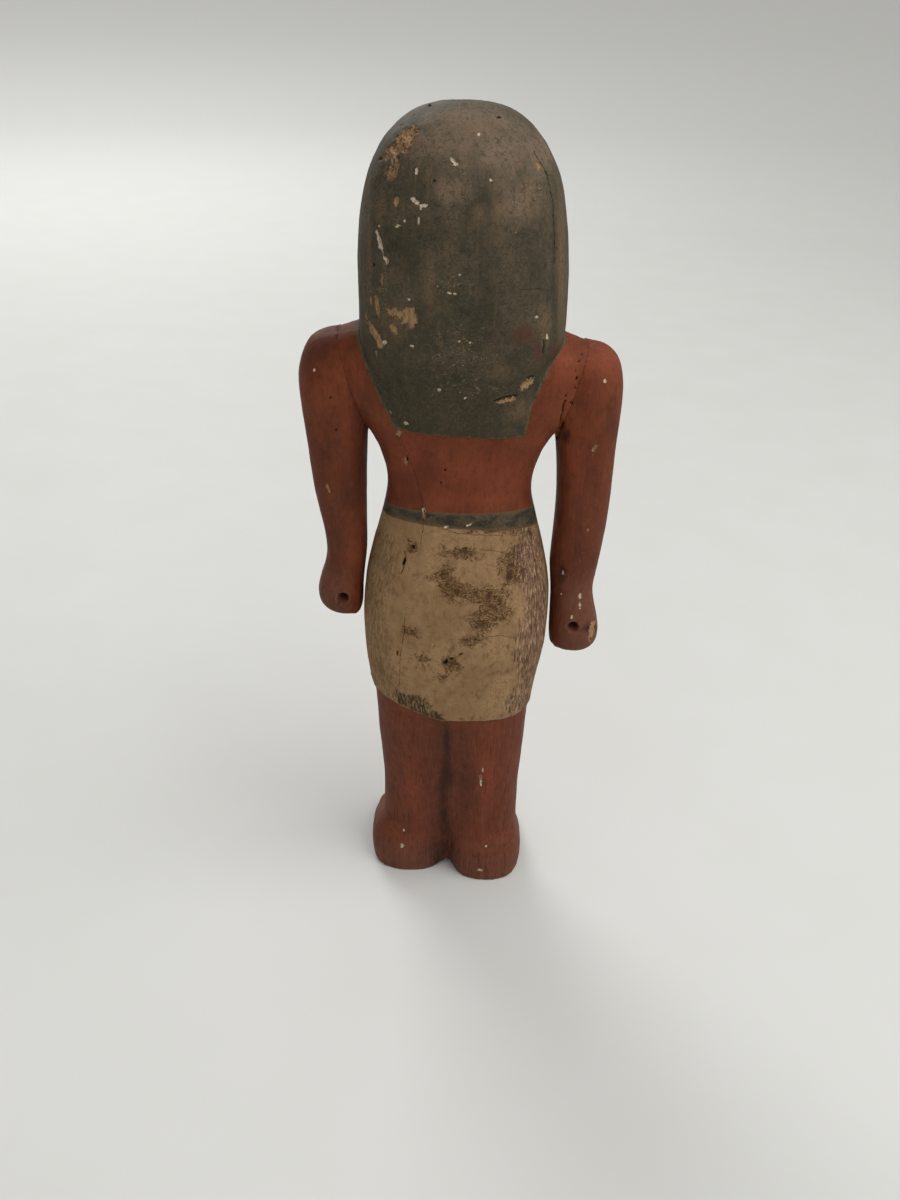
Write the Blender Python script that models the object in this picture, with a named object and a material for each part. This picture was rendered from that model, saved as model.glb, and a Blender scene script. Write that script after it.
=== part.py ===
"""A carved and painted wooden figurine of a standing man in a long wig and a kilt.

The body, with its wig, kilt, legs and feet, is carved from one piece of wood.
Each arm is a piece of its own, fixed against a slanting cut at the shoulder.
The man looks along -Y, his left is at +X, and he stands on Z = 0.
"""
import math

import bmesh
import bpy
from mathutils import Vector

# Driving dimensions, in metres
figure_height = 0.300
grip_bore = 0.0042
joint_gap = 0.0003
arm_clearance = 0.0004
kilt_edge = 0.0010
wig_relief = 0.0028

# The free carving is laid out in thousandths of the figure's height
share = figure_height / 1000

# Facets
body_sides = 32
arm_sides = 18
head_sides = 36
body_step = 18
head_step = 9
bore_sides = 18
crease_angle = math.radians(40)

# Paint: colour and roughness
body_colour = (0.23, 0.05, 0.03)
arm_colour = (0.19, 0.05, 0.035)
paint_roughness = 0.7

# Slanting cut between each arm and its shoulder: across and level, at the armpit and on top
cut_foot = (105, 647)
cut_top = (137, 760)

# How far the pieces reach past a cut before they are trimmed, and the cuts below the armpit
joint_overlap = 9
armpit_margin = 24
stump_margin = 8


def between(stations, level):
    """The values at one level, on a smooth curve through the stations (level, value, value...)."""
    if level <= stations[0][0]:
        return stations[0][1:]
    if level >= stations[-1][0]:
        return stations[-1][1:]
    upper = next(i for i, station in enumerate(stations) if station[0] >= level)
    lower = upper - 1
    before = max(lower - 1, 0)
    after = min(upper + 1, len(stations) - 1)
    span = stations[upper][0] - stations[lower][0]
    t = (level - stations[lower][0]) / span
    values = []
    for column in range(1, len(stations[0])):
        start, end = stations[lower][column], stations[upper][column]
        slope_in = (end - stations[before][column]) / (stations[upper][0] - stations[before][0])
        slope_out = (stations[after][column] - start) / (stations[after][0] - stations[lower][0])
        rise = 2 * t**3 - 3 * t**2
        values.append(
            start * (rise + 1) - end * rise
            + span * slope_in * (t**3 - 2 * t**2 + t)
            + span * slope_out * (t**3 - t**2)
        )
    return tuple(values)


def levels(stations, step):
    """Every station's level, with even levels between them, no further apart than the step."""
    result = [stations[0][0]]
    for lower, upper in zip(stations, stations[1:]):
        pieces = max(1, round((upper[0] - lower[0]) / step))
        result += [lower[0] + (upper[0] - lower[0]) * k / pieces for k in range(1, pieces + 1)]
    return result


def radius_at(angle, side, back, front, squareness):
    """The distance from the middle of a squared oval to its edge, in one direction."""
    depth = back if math.sin(angle) > 0 else front
    across = abs(math.cos(angle) / side) ** squareness
    along = abs(math.sin(angle) / depth) ** squareness
    return (across + along) ** (-1 / squareness)


def oval_ring(count, level, side, back, front, squareness, across=0, along=0, crowd=0.0):
    """A squared oval at one level, moved across and along; crowd draws its points to the front."""
    ring = []
    for k in range(count):
        turn = math.tau * k / count
        angle = turn - crowd * math.cos(turn)
        reach = radius_at(angle, side, back, front, squareness)
        x = across + reach * math.cos(angle)
        y = along + reach * math.sin(angle)
        ring.append(Vector((x, y, level)))
    return ring


def solid(name, grid):
    """An object made from a finished grid of faces, shaded smooth up to its creases."""
    mesh = bpy.data.meshes.new(name)
    grid.to_mesh(mesh)
    grid.free()
    mesh.shade_smooth()
    mesh.set_sharp_from_angle(angle=crease_angle)
    return bpy.data.objects.new(name, mesh)


def loft(name, rings):
    """A closed solid through rings of points, each in the same order and number."""
    grid = bmesh.new()
    loops = [[grid.verts.new(point * share) for point in ring] for ring in rings]
    for lower, upper in zip(loops, loops[1:]):
        for k in range(len(lower)):
            follow = (k + 1) % len(lower)
            grid.faces.new((lower[k], lower[follow], upper[follow], upper[k]))
    grid.faces.new(list(reversed(loops[0])))
    grid.faces.new(loops[-1])
    bmesh.ops.recalc_face_normals(grid, faces=grid.faces)
    bmesh.ops.triangulate(grid, faces=grid.faces)
    return solid(name, grid)


# Legs, below the hem: level, half width, back, front, squareness, sideways, cleft between them
leg_stations = [
    (8, 101, 50, 50, 2.5, 2, 20),
    (40, 98, 50, 47, 2.5, 2, 18),
    (90, 95, 52, 46, 2.6, 1, 13),
    (143, 94.5, 57, 49, 2.7, 1, 8),
    (190, 96.5, 62, 54, 2.8, 1.5, 4),
    (235, 99.5, 65, 60, 3.0, 2, 1),
    (286, 101, 69, 62, 3.0, 2, 0),
]
hem = leg_stations[-1]
cleft_width = 15
stance_skew = 0.13

# Hem: its slope on the figure's left, where the slope starts, and how far from it the lift fades out
hem_lift = 0.37
hem_lift_start = 17
hem_reach = 90

# Kilt, waist, chest and shoulders: level, half width, back, front, squareness, sideways
edge = kilt_edge / share
trunk_stations = [
    (hem[0] + 1, hem[1] + edge, hem[2] + edge, hem[3] + edge, 2.8, 2),
    (330, 110, 77, 67, 2.6, 2),
    (375, 116.5, 81, 69, 2.5, 1),
    (410, 118, 81, 68, 2.4, 0.5),
    (445, 117, 78, 66, 2.3, 0),
    (480, 112.5, 71, 64, 2.3, 0),
    (515, 104, 61, 62, 2.3, 0),
    (555, 93, 52, 59, 2.3, 0),
    (583, 87, 49, 56, 2.3, 0.5),
    (610, 88.5, 52, 57, 2.3, 0.5),
    (635, 95.5, 58, 61, 2.4, 0),
    (655, 106, 64, 66, 2.4, 0),
    (685, 127, 70, 70, 2.5, 0),
    (715, 144, 71, 68, 2.5, 0),
    (740, 152, 66, 61, 2.5, 0),
    (757, 150, 57, 52, 2.4, 1),
    (768, 139, 46, 43, 2.3, 2),
    (775, 118, 35, 33, 2.2, 3),
    (780, 80, 22, 22, 2.0, 3),
]
shoulder_tilt = 0.03

# Arms: level, inner edge, outer edge, half depth
left_arm_stations = [
    (411, 123, 152, 24),
    (416, 119, 164, 33),
    (425, 118, 173, 38),
    (438, 118, 177, 40),
    (455, 117, 173, 37),
    (472, 115, 167, 32),
    (490, 113, 163, 30),
    (520, 112, 164, 32),
    (555, 112, 170.5, 35),
    (585, 111, 176, 37),
    (620, 110, 179, 39),
    (660, 108, 182.5, 42),
    (700, 104, 186.5, 46),
    (728, 101, 185.5, 46),
    (748, 104, 180, 41),
    (760, 112, 172, 33),
    (768, 124, 158, 19),
]
right_arm_stations = [
    (367, 128, 166, 26),
    (372, 122, 178, 35),
    (382, 120, 184, 40),
    (397, 120, 183.5, 41),
    (413, 119, 180, 39),
    (435, 118, 174, 34),
    (455, 116, 170.5, 31),
    (480, 114, 174, 32),
    (515, 115, 178, 35),
    (560, 116, 181, 37),
    (600, 115, 181.5, 38),
    (645, 110, 181.5, 41),
    (690, 104, 183, 46),
    (720, 101, 182.5, 46),
    (740, 104, 178, 41),
    (752, 112, 170, 33),
    (760, 123, 157, 19),
]
arm_middle = -2
arm_squareness = 2.5
arms = {
    "left_arm": (1, left_arm_stations, (141, 443)),
    "right_arm": (-1, right_arm_stations, (147, 411)),
}


# Wig's lower panels, which stand off the back and the chest: level, half width, squareness, sideways
panel_levels = [
    (674, 71, 4.5, 1),
    (705, 80, 4.2, 6),
]

# Slope of the wig's lower rim, which is higher on the figure's left
rim_tilt = 0.04


def panel_station(level, half_width, squareness, sideways):
    """A station of the wig's lower panels, as deep as the body and the wig's relief make it."""
    _, body_back, body_front, _, _ = between(trunk_stations, level)
    relief = wig_relief / share
    return (level, half_width, body_back + relief, body_front + relief, squareness, sideways)


# Wig, from its panels to the crown: level, half width, back, front, squareness, sideways
wig_stations = [panel_station(*panel) for panel in panel_levels] + [
    (740, 95.5, 86, 73, 3.8, 7),
    (768, 111, 92, 74, 3.4, 2.5),
    (800, 112.5, 98, 78, 3.1, 2),
    (850, 112, 103, 82, 2.9, 3),
    (900, 107, 104, 85, 2.7, 4),
    (940, 97, 97, 83, 2.5, 4.5),
    (965, 83, 84, 73, 2.4, 5),
    (982, 67, 67, 58, 2.3, 5),
    (993, 50, 51, 44, 2.2, 5),
    (1000, 26, 27, 23, 2.0, 4),
]

# Opening of the wig for chest and face: level, half width
window_margin = 15
window_stations = [
    (wig_stations[0][0] - window_margin, 27),
    (760, 30),
    (785, 38),
    (805, 50),
    (835, 57),
    (880, 59),
    (905, 56),
    (922, 48),
    (932, 34),
    (937, 18),
]
window_floor = -30
window_front = -130
window_squareness = 5.0

# Neck and head: level, half width, back, front, squareness
head_stations = [
    (745, 38, 30, 40, 2.0),
    (788, 37, 30, 41, 2.0),
    (800, 40, 30, 52, 2.0),
    (806, 43, 30, 68, 2.1),
    (815, 47, 30, 76, 2.1),
    (838, 54, 30, 78, 2.2),
    (862, 58, 30, 78, 2.3),
    (890, 60, 30, 78, 2.4),
    (920, 59, 30, 77, 2.4),
    (945, 50, 30, 68, 2.2),
    (960, 34, 24, 50, 2.0),
]

# Swellings and hollows of the face: across, level, half width, half height, depth
middle_forms = [
    (0, 818, 16, 9, 4),
    (0, 833, 14, 4, 3.5),
    (0, 841, 17, 4, 4.5),
]
side_forms = [
    (28, 856, 16, 14, 3),
    (27, 887, 17, 8, -6),
    (27, 886, 12, 5, 5),
    (26, 902, 20, 4, 3),
]
nose_root = 896
nose_tip = 862
nose_base = 853
nose_underside = 4
nose_height = 19
nose_bridge_height = 5
nose_wings = 10.5
nose_bridge = 5.5
face_turn = 0.5
head_crowd = 0.55

# Feet: along the foot from the toes to the heel: place, half width, height
foot_stations = [
    (-98, 45, 21),
    (-90, 51, 26),
    (-76, 55, 33),
    (-60, 57, 42),
    (-45, 57, 54),
    (-25, 57, 68),
    (0, 56, 80),
    (20, 54, 86),
    (34, 47, 80),
    (43, 36, 66),
    (48, 23, 50),
    (51, 9, 34),
]
foot_sides = 18
foot_squareness = 2.4
foot_widest = 0.3
foot_below = 0.6
# Each foot's middle, how far it stands back, and its breadth
feet = {"left": (58, -2, 1.02), "right": (-51, 13, 0.94)}

# Toes, from the big toe outwards: across the foot, tip's place, half width
toes = [
    (-34, -121, 14.5),
    (-11, -121, 11),
    (9, -117, 10),
    (27, -111, 9.5),
    (43, -102, 8.5),
]
toe_length = 22
toe_radius = 12.5
toe_level = 10.5
toe_sides = 8
toe_rings = 6

# Thumb, from the middle of the bore: across, along, up, and the three radii
thumb_place = (-8, -36, 22)
thumb_radii = (12, 11, 25)

# Ears: across, along, level, and the three radii
ear_place = (66, -74, 879)
ear_radii = (9, 9, 22)


def half_width_at(level):
    """Half the width of the legs or, above the hem, of the trunk without the kilt's edge."""
    if level <= hem[0]:
        return between(leg_stations, level)[0]
    return between(trunk_stations, level)[0] - edge


def raise_hem(ring, level):
    """Lift a ring near the hem on the figure's left, where the kilt was cut higher."""
    near = max(0.0, 1 - abs(level - hem[0]) / hem_reach)
    for point in ring:
        lift = hem_lift * near * max(0.0, point.x - hem_lift_start)
        wider = half_width_at(level + lift) / half_width_at(level)
        point.x *= wider
        point.y *= wider
        point.z += lift


def leg_ring(level):
    """The outline of both legs together, with the cleft between them at the back and the front."""
    *outline, cleft = between(leg_stations, level)
    ring = oval_ring(body_sides, level, *outline)
    for point in ring:
        inward = cleft * math.exp(-((point.x / cleft_width) ** 2))
        point.y -= math.copysign(inward, point.y)
        point.y -= stance_skew * (1 - level / hem[0]) * point.x
    raise_hem(ring, level)
    return ring


def trunk_ring(level):
    """The outline of the kilt, waist, chest or shoulders; the left shoulder is a little higher."""
    ring = oval_ring(body_sides, level, *between(trunk_stations, level))
    above = max(0.0, (level - cut_foot[1]) / (trunk_stations[-1][0] - cut_foot[1]))
    for point in ring:
        point.z += shoulder_tilt * above * point.x
    raise_hem(ring, level)
    return ring


def trunk_rings():
    """Every outline of the legs and the trunk, from the ankles to the top of the shoulders."""
    rings = [leg_ring(level) for level in levels(leg_stations, body_step)]
    return rings + [trunk_ring(level) for level in levels(trunk_stations, body_step)]


def arm_ring(side, stations, level):
    """The outline of one arm at one level, clear of the kilt and waist beside it."""
    inner, outer, depth = between(stations, level)
    if level < cut_foot[1]:
        body_side = between(trunk_stations, level)[0]
        inner = max(inner, body_side + arm_clearance / share)
    half = (outer - inner) / 2
    middle = side * (inner + half)
    return oval_ring(arm_sides, level, half, depth, depth, arm_squareness, middle, arm_middle)


def wig_ring(level):
    """The outline of the wig at one level; its lower rim hangs a little lower on the right."""
    ring = oval_ring(body_sides, level, *between(wig_stations, level))
    rim, full = wig_stations[0][0], wig_stations[3][0]
    low = max(0.0, (full - level) / (full - rim))
    for point in ring:
        point.z += rim_tilt * low * point.x
    return ring


def window_ring(level):
    """The outline of the opening between the front panels, from the front to its floor."""
    side = between(window_stations, level)[0]
    middle = (window_floor + window_front) / 2
    depth = (window_floor - window_front) / 2
    return oval_ring(head_sides, level, side, depth, depth, window_squareness, 0, middle)


def nose_rise(across, level):
    """How far the nose stands out of the face at one point."""
    if level > nose_root or level < nose_base - nose_underside:
        return 0.0
    if level >= nose_tip:
        down = (nose_root - level) / (nose_root - nose_tip)
        rise = nose_bridge_height + (nose_height - nose_bridge_height) * down
        width = nose_bridge + (nose_wings - nose_bridge) * down
    else:
        rise = nose_height * max(0.0, (level - nose_base) / (nose_tip - nose_base))
        width = nose_wings
    return rise * math.exp(-((across / width) ** 4))


def face_relief(point):
    """How far the face stands out at one point of the head's front."""
    mirrored = [(-across, *rest) for across, *rest in side_forms]
    relief = nose_rise(point.x, point.z)
    for across, level, half_width, half_height, depth in middle_forms + side_forms + mirrored:
        away = ((point.x - across) / half_width) ** 2 + ((point.z - level) / half_height) ** 2
        relief += depth * math.exp(-away)
    return relief


def head_ring(level):
    """The outline of the neck or head at one level, with the face on its front."""
    side, back, front, squareness = between(head_stations, level)
    ring = oval_ring(head_sides, level, side, back, front, squareness, crowd=head_crowd)
    for point in ring:
        if point.y < 0:
            point.y -= face_relief(point) * min(1.0, -point.y / (face_turn * front))
    return ring


def foot_ring(place, half_width, height, middle):
    """An upright outline across a foot, rounded above and reaching into the ground below."""
    ring = []
    widest = foot_widest * height
    for k in range(foot_sides):
        angle = -math.tau * k / foot_sides
        across = math.copysign(abs(math.cos(angle)) ** (2 / foot_squareness), math.cos(angle))
        rise = math.copysign(abs(math.sin(angle)) ** (2 / foot_squareness), math.sin(angle))
        level = widest + rise * (height - widest if rise > 0 else foot_below * height)
        ring.append(Vector((middle + half_width * across, place, level)))
    return ring


def foot(name, middle, shift, breadth):
    """One foot without its toes, standing flat."""
    rings = []
    for place in levels(foot_stations, body_step):
        half_width, height = between(foot_stations, place)
        rings.append(foot_ring(place + shift, half_width * breadth, height, middle))
    return loft(name, rings)


def ball(name, place, radii, segments=10, rings=7):
    """A small oval ball, from its middle and its three radii."""
    grid = bmesh.new()
    bmesh.ops.create_uvsphere(grid, u_segments=segments, v_segments=rings, radius=1)
    bmesh.ops.scale(grid, vec=Vector(radii) * share, verts=grid.verts)
    bmesh.ops.translate(grid, vec=Vector(place) * share, verts=grid.verts)
    return solid(name, grid)


def toe(name, foot_middle, foot_shift, breadth, side, across, tip, half_width):
    """One toe: an oval ball that reaches a little into the ground."""
    place = (foot_middle + side * across * breadth, tip + toe_length + foot_shift, toe_level)
    radii = (half_width * breadth, toe_length, toe_radius)
    return ball(name, place, radii, toe_sides, toe_rings)


def block_cutter(name):
    """A cube as large as the figure is tall, which reaches past all that it cuts."""
    grid = bmesh.new()
    bmesh.ops.create_cube(grid, size=figure_height)
    return solid(name, grid)


def joint_block(name, side, outward, face, below):
    """A block beside the slanting cut of a shoulder.

    Its face lies that far outside the cut, and it starts that far below the armpit.
    """
    foot_point = Vector((side * cut_foot[0], 0, cut_foot[1])) * share
    top_point = Vector((side * cut_top[0], 0, cut_top[1])) * share
    up = (top_point - foot_point).normalized()
    out = Vector((side * up.z, 0, -side * up.x))
    away = face + (figure_height if outward else -figure_height) / 2
    block = block_cutter(name)
    block.location = foot_point + up * (figure_height / 2 - below * share) + out * away
    block.rotation_euler.y = math.atan2(up.x, up.z)
    return block


def ground_block():
    """The ground, which cuts the soles and the toes flat."""
    block = block_cutter("ground")
    block.location.z = -figure_height / 2
    return block


def bore(name, side, place):
    """The cutter of a fist's hole, which runs from front to back."""
    radius = grip_bore / 2
    grid = bmesh.new()
    bmesh.ops.create_cone(
        grid, cap_ends=True, segments=bore_sides,
        radius1=radius, radius2=radius, depth=figure_height,
    )
    cutter = solid(name, grid)
    cutter.location = Vector((side * place[0], arm_middle, place[1])) * share
    cutter.rotation_euler.x = math.pi / 2
    return cutter


def paint(name, colour):
    """A plain painted-wood material."""
    material = bpy.data.materials.new(name)
    material.use_nodes = True
    shader = material.node_tree.nodes["Principled BSDF"]
    shader.inputs["Base Color"].default_value = (*colour, 1.0)
    shader.inputs["Roughness"].default_value = paint_roughness
    shader.inputs["Metallic"].default_value = 0.0
    return material


def combine(target, operation, operands):
    """Add one exact Boolean to the target for each operand, in order."""
    for operand in operands:
        modifier = target.modifiers.new(operand.name, "BOOLEAN")
        modifier.operation = operation
        modifier.solver = "EXACT"
        modifier.object = operand


def put_in(collection, things, root):
    """Link the things to a collection and hang them on the root."""
    for thing in things:
        collection.objects.link(thing)
        thing.parent = root


def arm_loft(name, side, stations):
    """A whole arm, from its fist to the top of the shoulder, before it is cut."""
    return loft(name, [arm_ring(side, stations, level) for level in levels(stations, body_step)])


def build_arm(name):
    """One arm with its fist, cut at the shoulder; its helpers come back with it."""
    side, stations, bore_place = arms[name]
    arm = arm_loft(name, side, stations)
    inside = joint_block(name + "_inside", side, False, joint_gap / 2, armpit_margin)
    outside = joint_block(name + "_outside", side, True, -joint_overlap * share, 0)
    shoulder = loft(name + "_shoulder", trunk_rings())
    combine(shoulder, "INTERSECT", [outside])
    across, along, up = thumb_place
    place = (side * (bore_place[0] + across), along, bore_place[1] + up)
    thumb = ball(name + "_thumb", place, thumb_radii)
    hole = bore(name + "_bore", side, bore_place)
    combine(arm, "UNION", [shoulder, thumb])
    combine(arm, "DIFFERENCE", [inside, hole])
    return arm, [inside, outside, shoulder, thumb, hole]


def build_stump(name):
    """The inner part of a shoulder, which belongs to the body, reaching a little past the cut."""
    side, stations, _ = arms[name]
    stump = arm_loft(name + "_stump", side, stations)
    inside = joint_block(name + "_stump_inside", side, False, joint_overlap * share, stump_margin)
    combine(stump, "INTERSECT", [inside])
    return stump, inside


def build_wig():
    """The wig with the opening for the chest and the face cut out of its front."""
    wig = loft("wig", [wig_ring(level) for level in levels(wig_stations, body_step)])
    window = loft("window", [window_ring(level) for level in levels(window_stations, body_step)])
    combine(wig, "DIFFERENCE", [window])
    return wig, window


def build_body():
    """The body in one piece: trunk, shoulders, wig, head, ears, feet and toes."""
    body = loft("figure_body", trunk_rings())
    helpers = []
    for name, (side, _, _) in arms.items():
        outside = joint_block(name + "_cut", side, True, -joint_gap / 2, armpit_margin)
        stump, inside = build_stump(name)
        combine(body, "UNION", [stump])
        combine(body, "DIFFERENCE", [outside])
        helpers += [outside, stump, inside]
    wig, window = build_wig()
    head = loft("head", [head_ring(level) for level in levels(head_stations, head_step)])
    combine(body, "UNION", [wig, head])
    helpers += [wig, window, head]
    for side in (1, -1):
        ear = ball("ear", (side * ear_place[0], ear_place[1], ear_place[2]), ear_radii)
        combine(body, "UNION", [ear])
        helpers.append(ear)
    for name, (middle, shift, breadth) in feet.items():
        side = math.copysign(1, middle)
        sole = foot(name + "_foot", middle, shift, breadth)
        combine(body, "UNION", [sole])
        helpers.append(sole)
        for number, (across, tip, half_width) in enumerate(toes):
            digit = toe(f"{name}_toe_{number}", middle, shift, breadth, side, across, tip, half_width)
            combine(body, "UNION", [digit])
            helpers.append(digit)
    ground = ground_block()
    combine(body, "DIFFERENCE", [ground])
    return body, helpers + [ground]


def main():
    """Build the figurine, centred over the origin and standing on Z = 0."""
    for old in list(bpy.data.objects):
        bpy.data.objects.remove(old)
    scene = bpy.context.scene
    parts = bpy.data.collections.new("figurine")
    cutters = bpy.data.collections.new("cutters")
    scene.collection.children.link(parts)
    scene.collection.children.link(cutters)
    root = bpy.data.objects.new("stance", None)
    scene.collection.objects.link(root)

    body, helpers = build_body()
    body.data.materials.append(paint("body_paint", body_colour))
    pieces = [body]
    for name in arms:
        arm, arm_helpers = build_arm(name)
        arm.data.materials.append(paint(name + "_paint", arm_colour))
        pieces.append(arm)
        helpers += arm_helpers
    put_in(parts, pieces, root)
    put_in(cutters, helpers, root)
    for helper in helpers:
        helper.hide_render = True
        helper.display_type = "WIRE"

    bpy.context.view_layer.update()
    depsgraph = bpy.context.evaluated_depsgraph_get()
    corners = [
        piece.matrix_world @ Vector(corner)
        for piece in pieces for corner in piece.evaluated_get(depsgraph).bound_box
    ]
    for axis in (0, 1):
        reach = [corner[axis] for corner in corners]
        root.location[axis] = -(min(reach) + max(reach)) / 2


main()
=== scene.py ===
# %% [markdown]
# # A painted wooden figurine, from plain solids to worn paint
# The figurine is a small standing man with a long wig and a kilt. A carver shaped the body from one
# piece of wood, fixed an arm to each shoulder, spread white ground over the wood and painted it. Since
# then the paint has rubbed, cracked and flaked.
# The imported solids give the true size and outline, in flat facets. This lesson turns each solid into a
# fine mesh, carves the small forms and the damage into it, and paints it with a procedural material.

# %% Load the solids
import math

import bmesh
import bpy
import numpy as np
from mathutils import Euler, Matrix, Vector
from mathutils.kdtree import KDTree


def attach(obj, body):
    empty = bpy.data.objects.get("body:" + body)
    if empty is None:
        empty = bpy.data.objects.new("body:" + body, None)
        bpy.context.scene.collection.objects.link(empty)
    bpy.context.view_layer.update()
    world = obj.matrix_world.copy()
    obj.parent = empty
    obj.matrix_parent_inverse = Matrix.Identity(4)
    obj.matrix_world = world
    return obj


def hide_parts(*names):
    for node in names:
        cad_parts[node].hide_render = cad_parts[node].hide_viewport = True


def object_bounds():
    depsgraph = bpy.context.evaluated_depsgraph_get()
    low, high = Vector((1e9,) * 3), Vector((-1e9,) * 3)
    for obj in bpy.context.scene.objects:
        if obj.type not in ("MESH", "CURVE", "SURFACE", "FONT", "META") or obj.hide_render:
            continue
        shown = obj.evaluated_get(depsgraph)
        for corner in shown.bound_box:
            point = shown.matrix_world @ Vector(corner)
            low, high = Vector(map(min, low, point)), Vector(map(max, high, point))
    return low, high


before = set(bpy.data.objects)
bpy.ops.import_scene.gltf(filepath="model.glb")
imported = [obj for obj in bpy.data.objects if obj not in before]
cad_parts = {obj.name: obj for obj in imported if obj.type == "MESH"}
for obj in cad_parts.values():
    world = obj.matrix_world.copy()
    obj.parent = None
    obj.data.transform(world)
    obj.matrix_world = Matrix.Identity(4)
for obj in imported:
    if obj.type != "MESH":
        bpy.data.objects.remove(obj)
cad_box = [list(corner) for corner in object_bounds()]
mm = 0.001
print("solids:", sorted(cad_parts), "box in metres:", cad_box)

# %% [markdown]
# ## The camera
# The photo was taken from behind the figure, from a little above its head, looking down by thirty
# degrees. Its place and lens were worked out from the figure's height and width in the photo. The camera
# comes first, because the marks of wear are placed where the camera sees them. A point's pixel is found
# by turning the point into the camera's own directions and dividing by its distance.

# %% Camera and photo pixels
photo_width, photo_height = 900, 1200
sensor_width = 36
lens = 30.63
camera_place = Vector((-0.9, 341.8, 323.1))
camera_turn = Euler([math.radians(angle) for angle in (60, -1.22, -178.79)])


def placed(name, data):
    """A new object with that data, in the scene."""
    thing = bpy.data.objects.new(name, data)
    bpy.context.scene.collection.objects.link(thing)
    return thing


camera = placed("camera", bpy.data.cameras.new("camera"))
camera.data.lens = lens
camera.data.sensor_width = sensor_width
camera.data.clip_start = 0.01
camera.location = camera_place * mm
camera.rotation_euler = camera_turn
bpy.context.scene.camera = camera

pixels_per_slope = lens / sensor_width * photo_height


def photo_pixels(points):
    """Where points, in millimetres, are in the photo: pixels from its left and from its top."""
    turned = (points - np.array(camera_place)) @ np.array(camera_turn.to_matrix())
    slope = turned[:, :2] / -turned[:, 2:]
    return np.array((photo_width, photo_height)) / 2 + slope * (pixels_per_slope, -pixels_per_slope)


top_of_head = np.array(((0, 2.8, 300),))
print("the top of the head is at pixel", photo_pixels(top_of_head).round(1).tolist())

# %% [markdown]
# ## A fine mesh from each solid
# Each solid is a coarse net of triangles. A voxel remesh rebuilds it in small even faces, which is what
# carving in code needs, because then every place has points to push. The flat facets are then relaxed
# away. Points close to a sharp edge of the solid, such as the wig's rim or the kilt's hem, stay nearly
# where they are, so that the edges survive.

# %% Remesh
voxel_size = 0.5
crease_angle = math.radians(38)
crease_spacing = 0.7


def merged_copy(node):
    """A copy of a solid's mesh, with the loose triangles' corners joined."""
    grid = bmesh.new()
    grid.from_mesh(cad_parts[node].data)
    bmesh.ops.remove_doubles(grid, verts=grid.verts, dist=0.001 * mm)
    grid.normal_update()
    return grid


def crease_tree(grid):
    """A search tree of points along the solid's sharp edges, in millimetres."""
    places = []
    for edge in grid.edges:
        if edge.calc_face_angle(0) > crease_angle:
            start, end = (vertex.co / mm for vertex in edge.verts)
            count = max(1, int((end - start).length / crease_spacing))
            places += [start.lerp(end, step / count) for step in range(count + 1)]
    tree = KDTree(len(places))
    for number, place in enumerate(places):
        tree.insert(place, number)
    tree.balance()
    return tree


def with_modifier(mesh, kind, settings, inputs=None):
    """The mesh after one modifier, with its settings and, for a node tree, its inputs by identifier."""
    thing = placed("work", mesh)
    modifier = thing.modifiers.new(kind, kind)
    for name, value in settings.items():
        setattr(modifier, name, value)
    for identifier, value in (inputs or {}).items():
        modifier[identifier] = value
    evaluated = thing.evaluated_get(bpy.context.evaluated_depsgraph_get())
    result = bpy.data.meshes.new_from_object(evaluated)
    bpy.data.objects.remove(thing)
    return result


# %% [markdown]
# ## Closed joints
# Each arm lies with a flat face against a slanting face of the shoulder, and ground and paint were
# spread over both, so on the real figure the joint hardly shows. A remesh rounds every edge a little,
# which would open a groove there. So a solid first grows past the middle of the gap at its joints, and
# after the remesh what lies beyond the middle is pressed back onto it, which leaves a sharp rim.

# %% Joints
joint_gap = 0.3
joint_spare = joint_gap / 2 + 1.2 * voxel_size
joint_touch = 0.01
joint_foot, joint_inner_side = 190, 26


def joint_plane(node):
    """The middle of an arm's joint: its direction, towards the body, and its offset along it."""
    grid = merged_copy(node)
    flats = {}
    for face in grid.faces:
        offset = face.normal.dot(face.verts[0].co) / mm
        key = (*(round(part, 2) for part in face.normal), round(offset, 1))
        flats.setdefault(key, []).append((face.calc_area(), tuple(face.normal), offset))
    widest = max(flats.values(), key=lambda flat: sum(area for area, _, _ in flat))
    _, normal, offset = max(widest)
    grid.free()
    return np.array(normal), offset + joint_gap / 2


joint_planes = {node: joint_plane(node) for node in ("left_arm", "right_arm")}
for node, (normal, offset) in joint_planes.items():
    print(node, "joint faces", normal.round(3).tolist(), "at", round(offset, 2), "mm")


def joints_of(node):
    """A piece's joints: the direction into the piece and the offset of the middle along it."""
    if node == "figure_body":
        return [(arm, normal, offset) for arm, (normal, offset) in joint_planes.items()]
    return [(node, -joint_planes[node][0], -joint_planes[node][1])]


def grow_joints(grid, node):
    """Grow a solid past the middle of its joints."""
    for _, inward, offset in joints_of(node):
        out = Vector(-inward)
        flat = [
            face for face in grid.faces
            if face.normal.dot(out) > 0.999
            and all(abs(vertex.co.dot(out) / mm + offset) < joint_gap for vertex in face.verts)
        ]
        grown = bmesh.ops.extrude_face_region(grid, geom=flat)["geom"]
        moved = [part for part in grown if isinstance(part, bmesh.types.BMVert)]
        bmesh.ops.translate(grid, verts=moved, vec=out * joint_spare * mm)
        print(node, "grows from", len(flat), "joint faces")


def near_joint(points, arm):
    """1 around the shoulder of that arm, and 0 below its armpit."""
    outward = points[:, 0] * -np.sign(joint_planes[arm][0][0])
    side = ease(outward, joint_inner_side, joint_inner_side + 2)
    return side * ease(points[:, 2], joint_foot - 1, joint_foot + 1)


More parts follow.
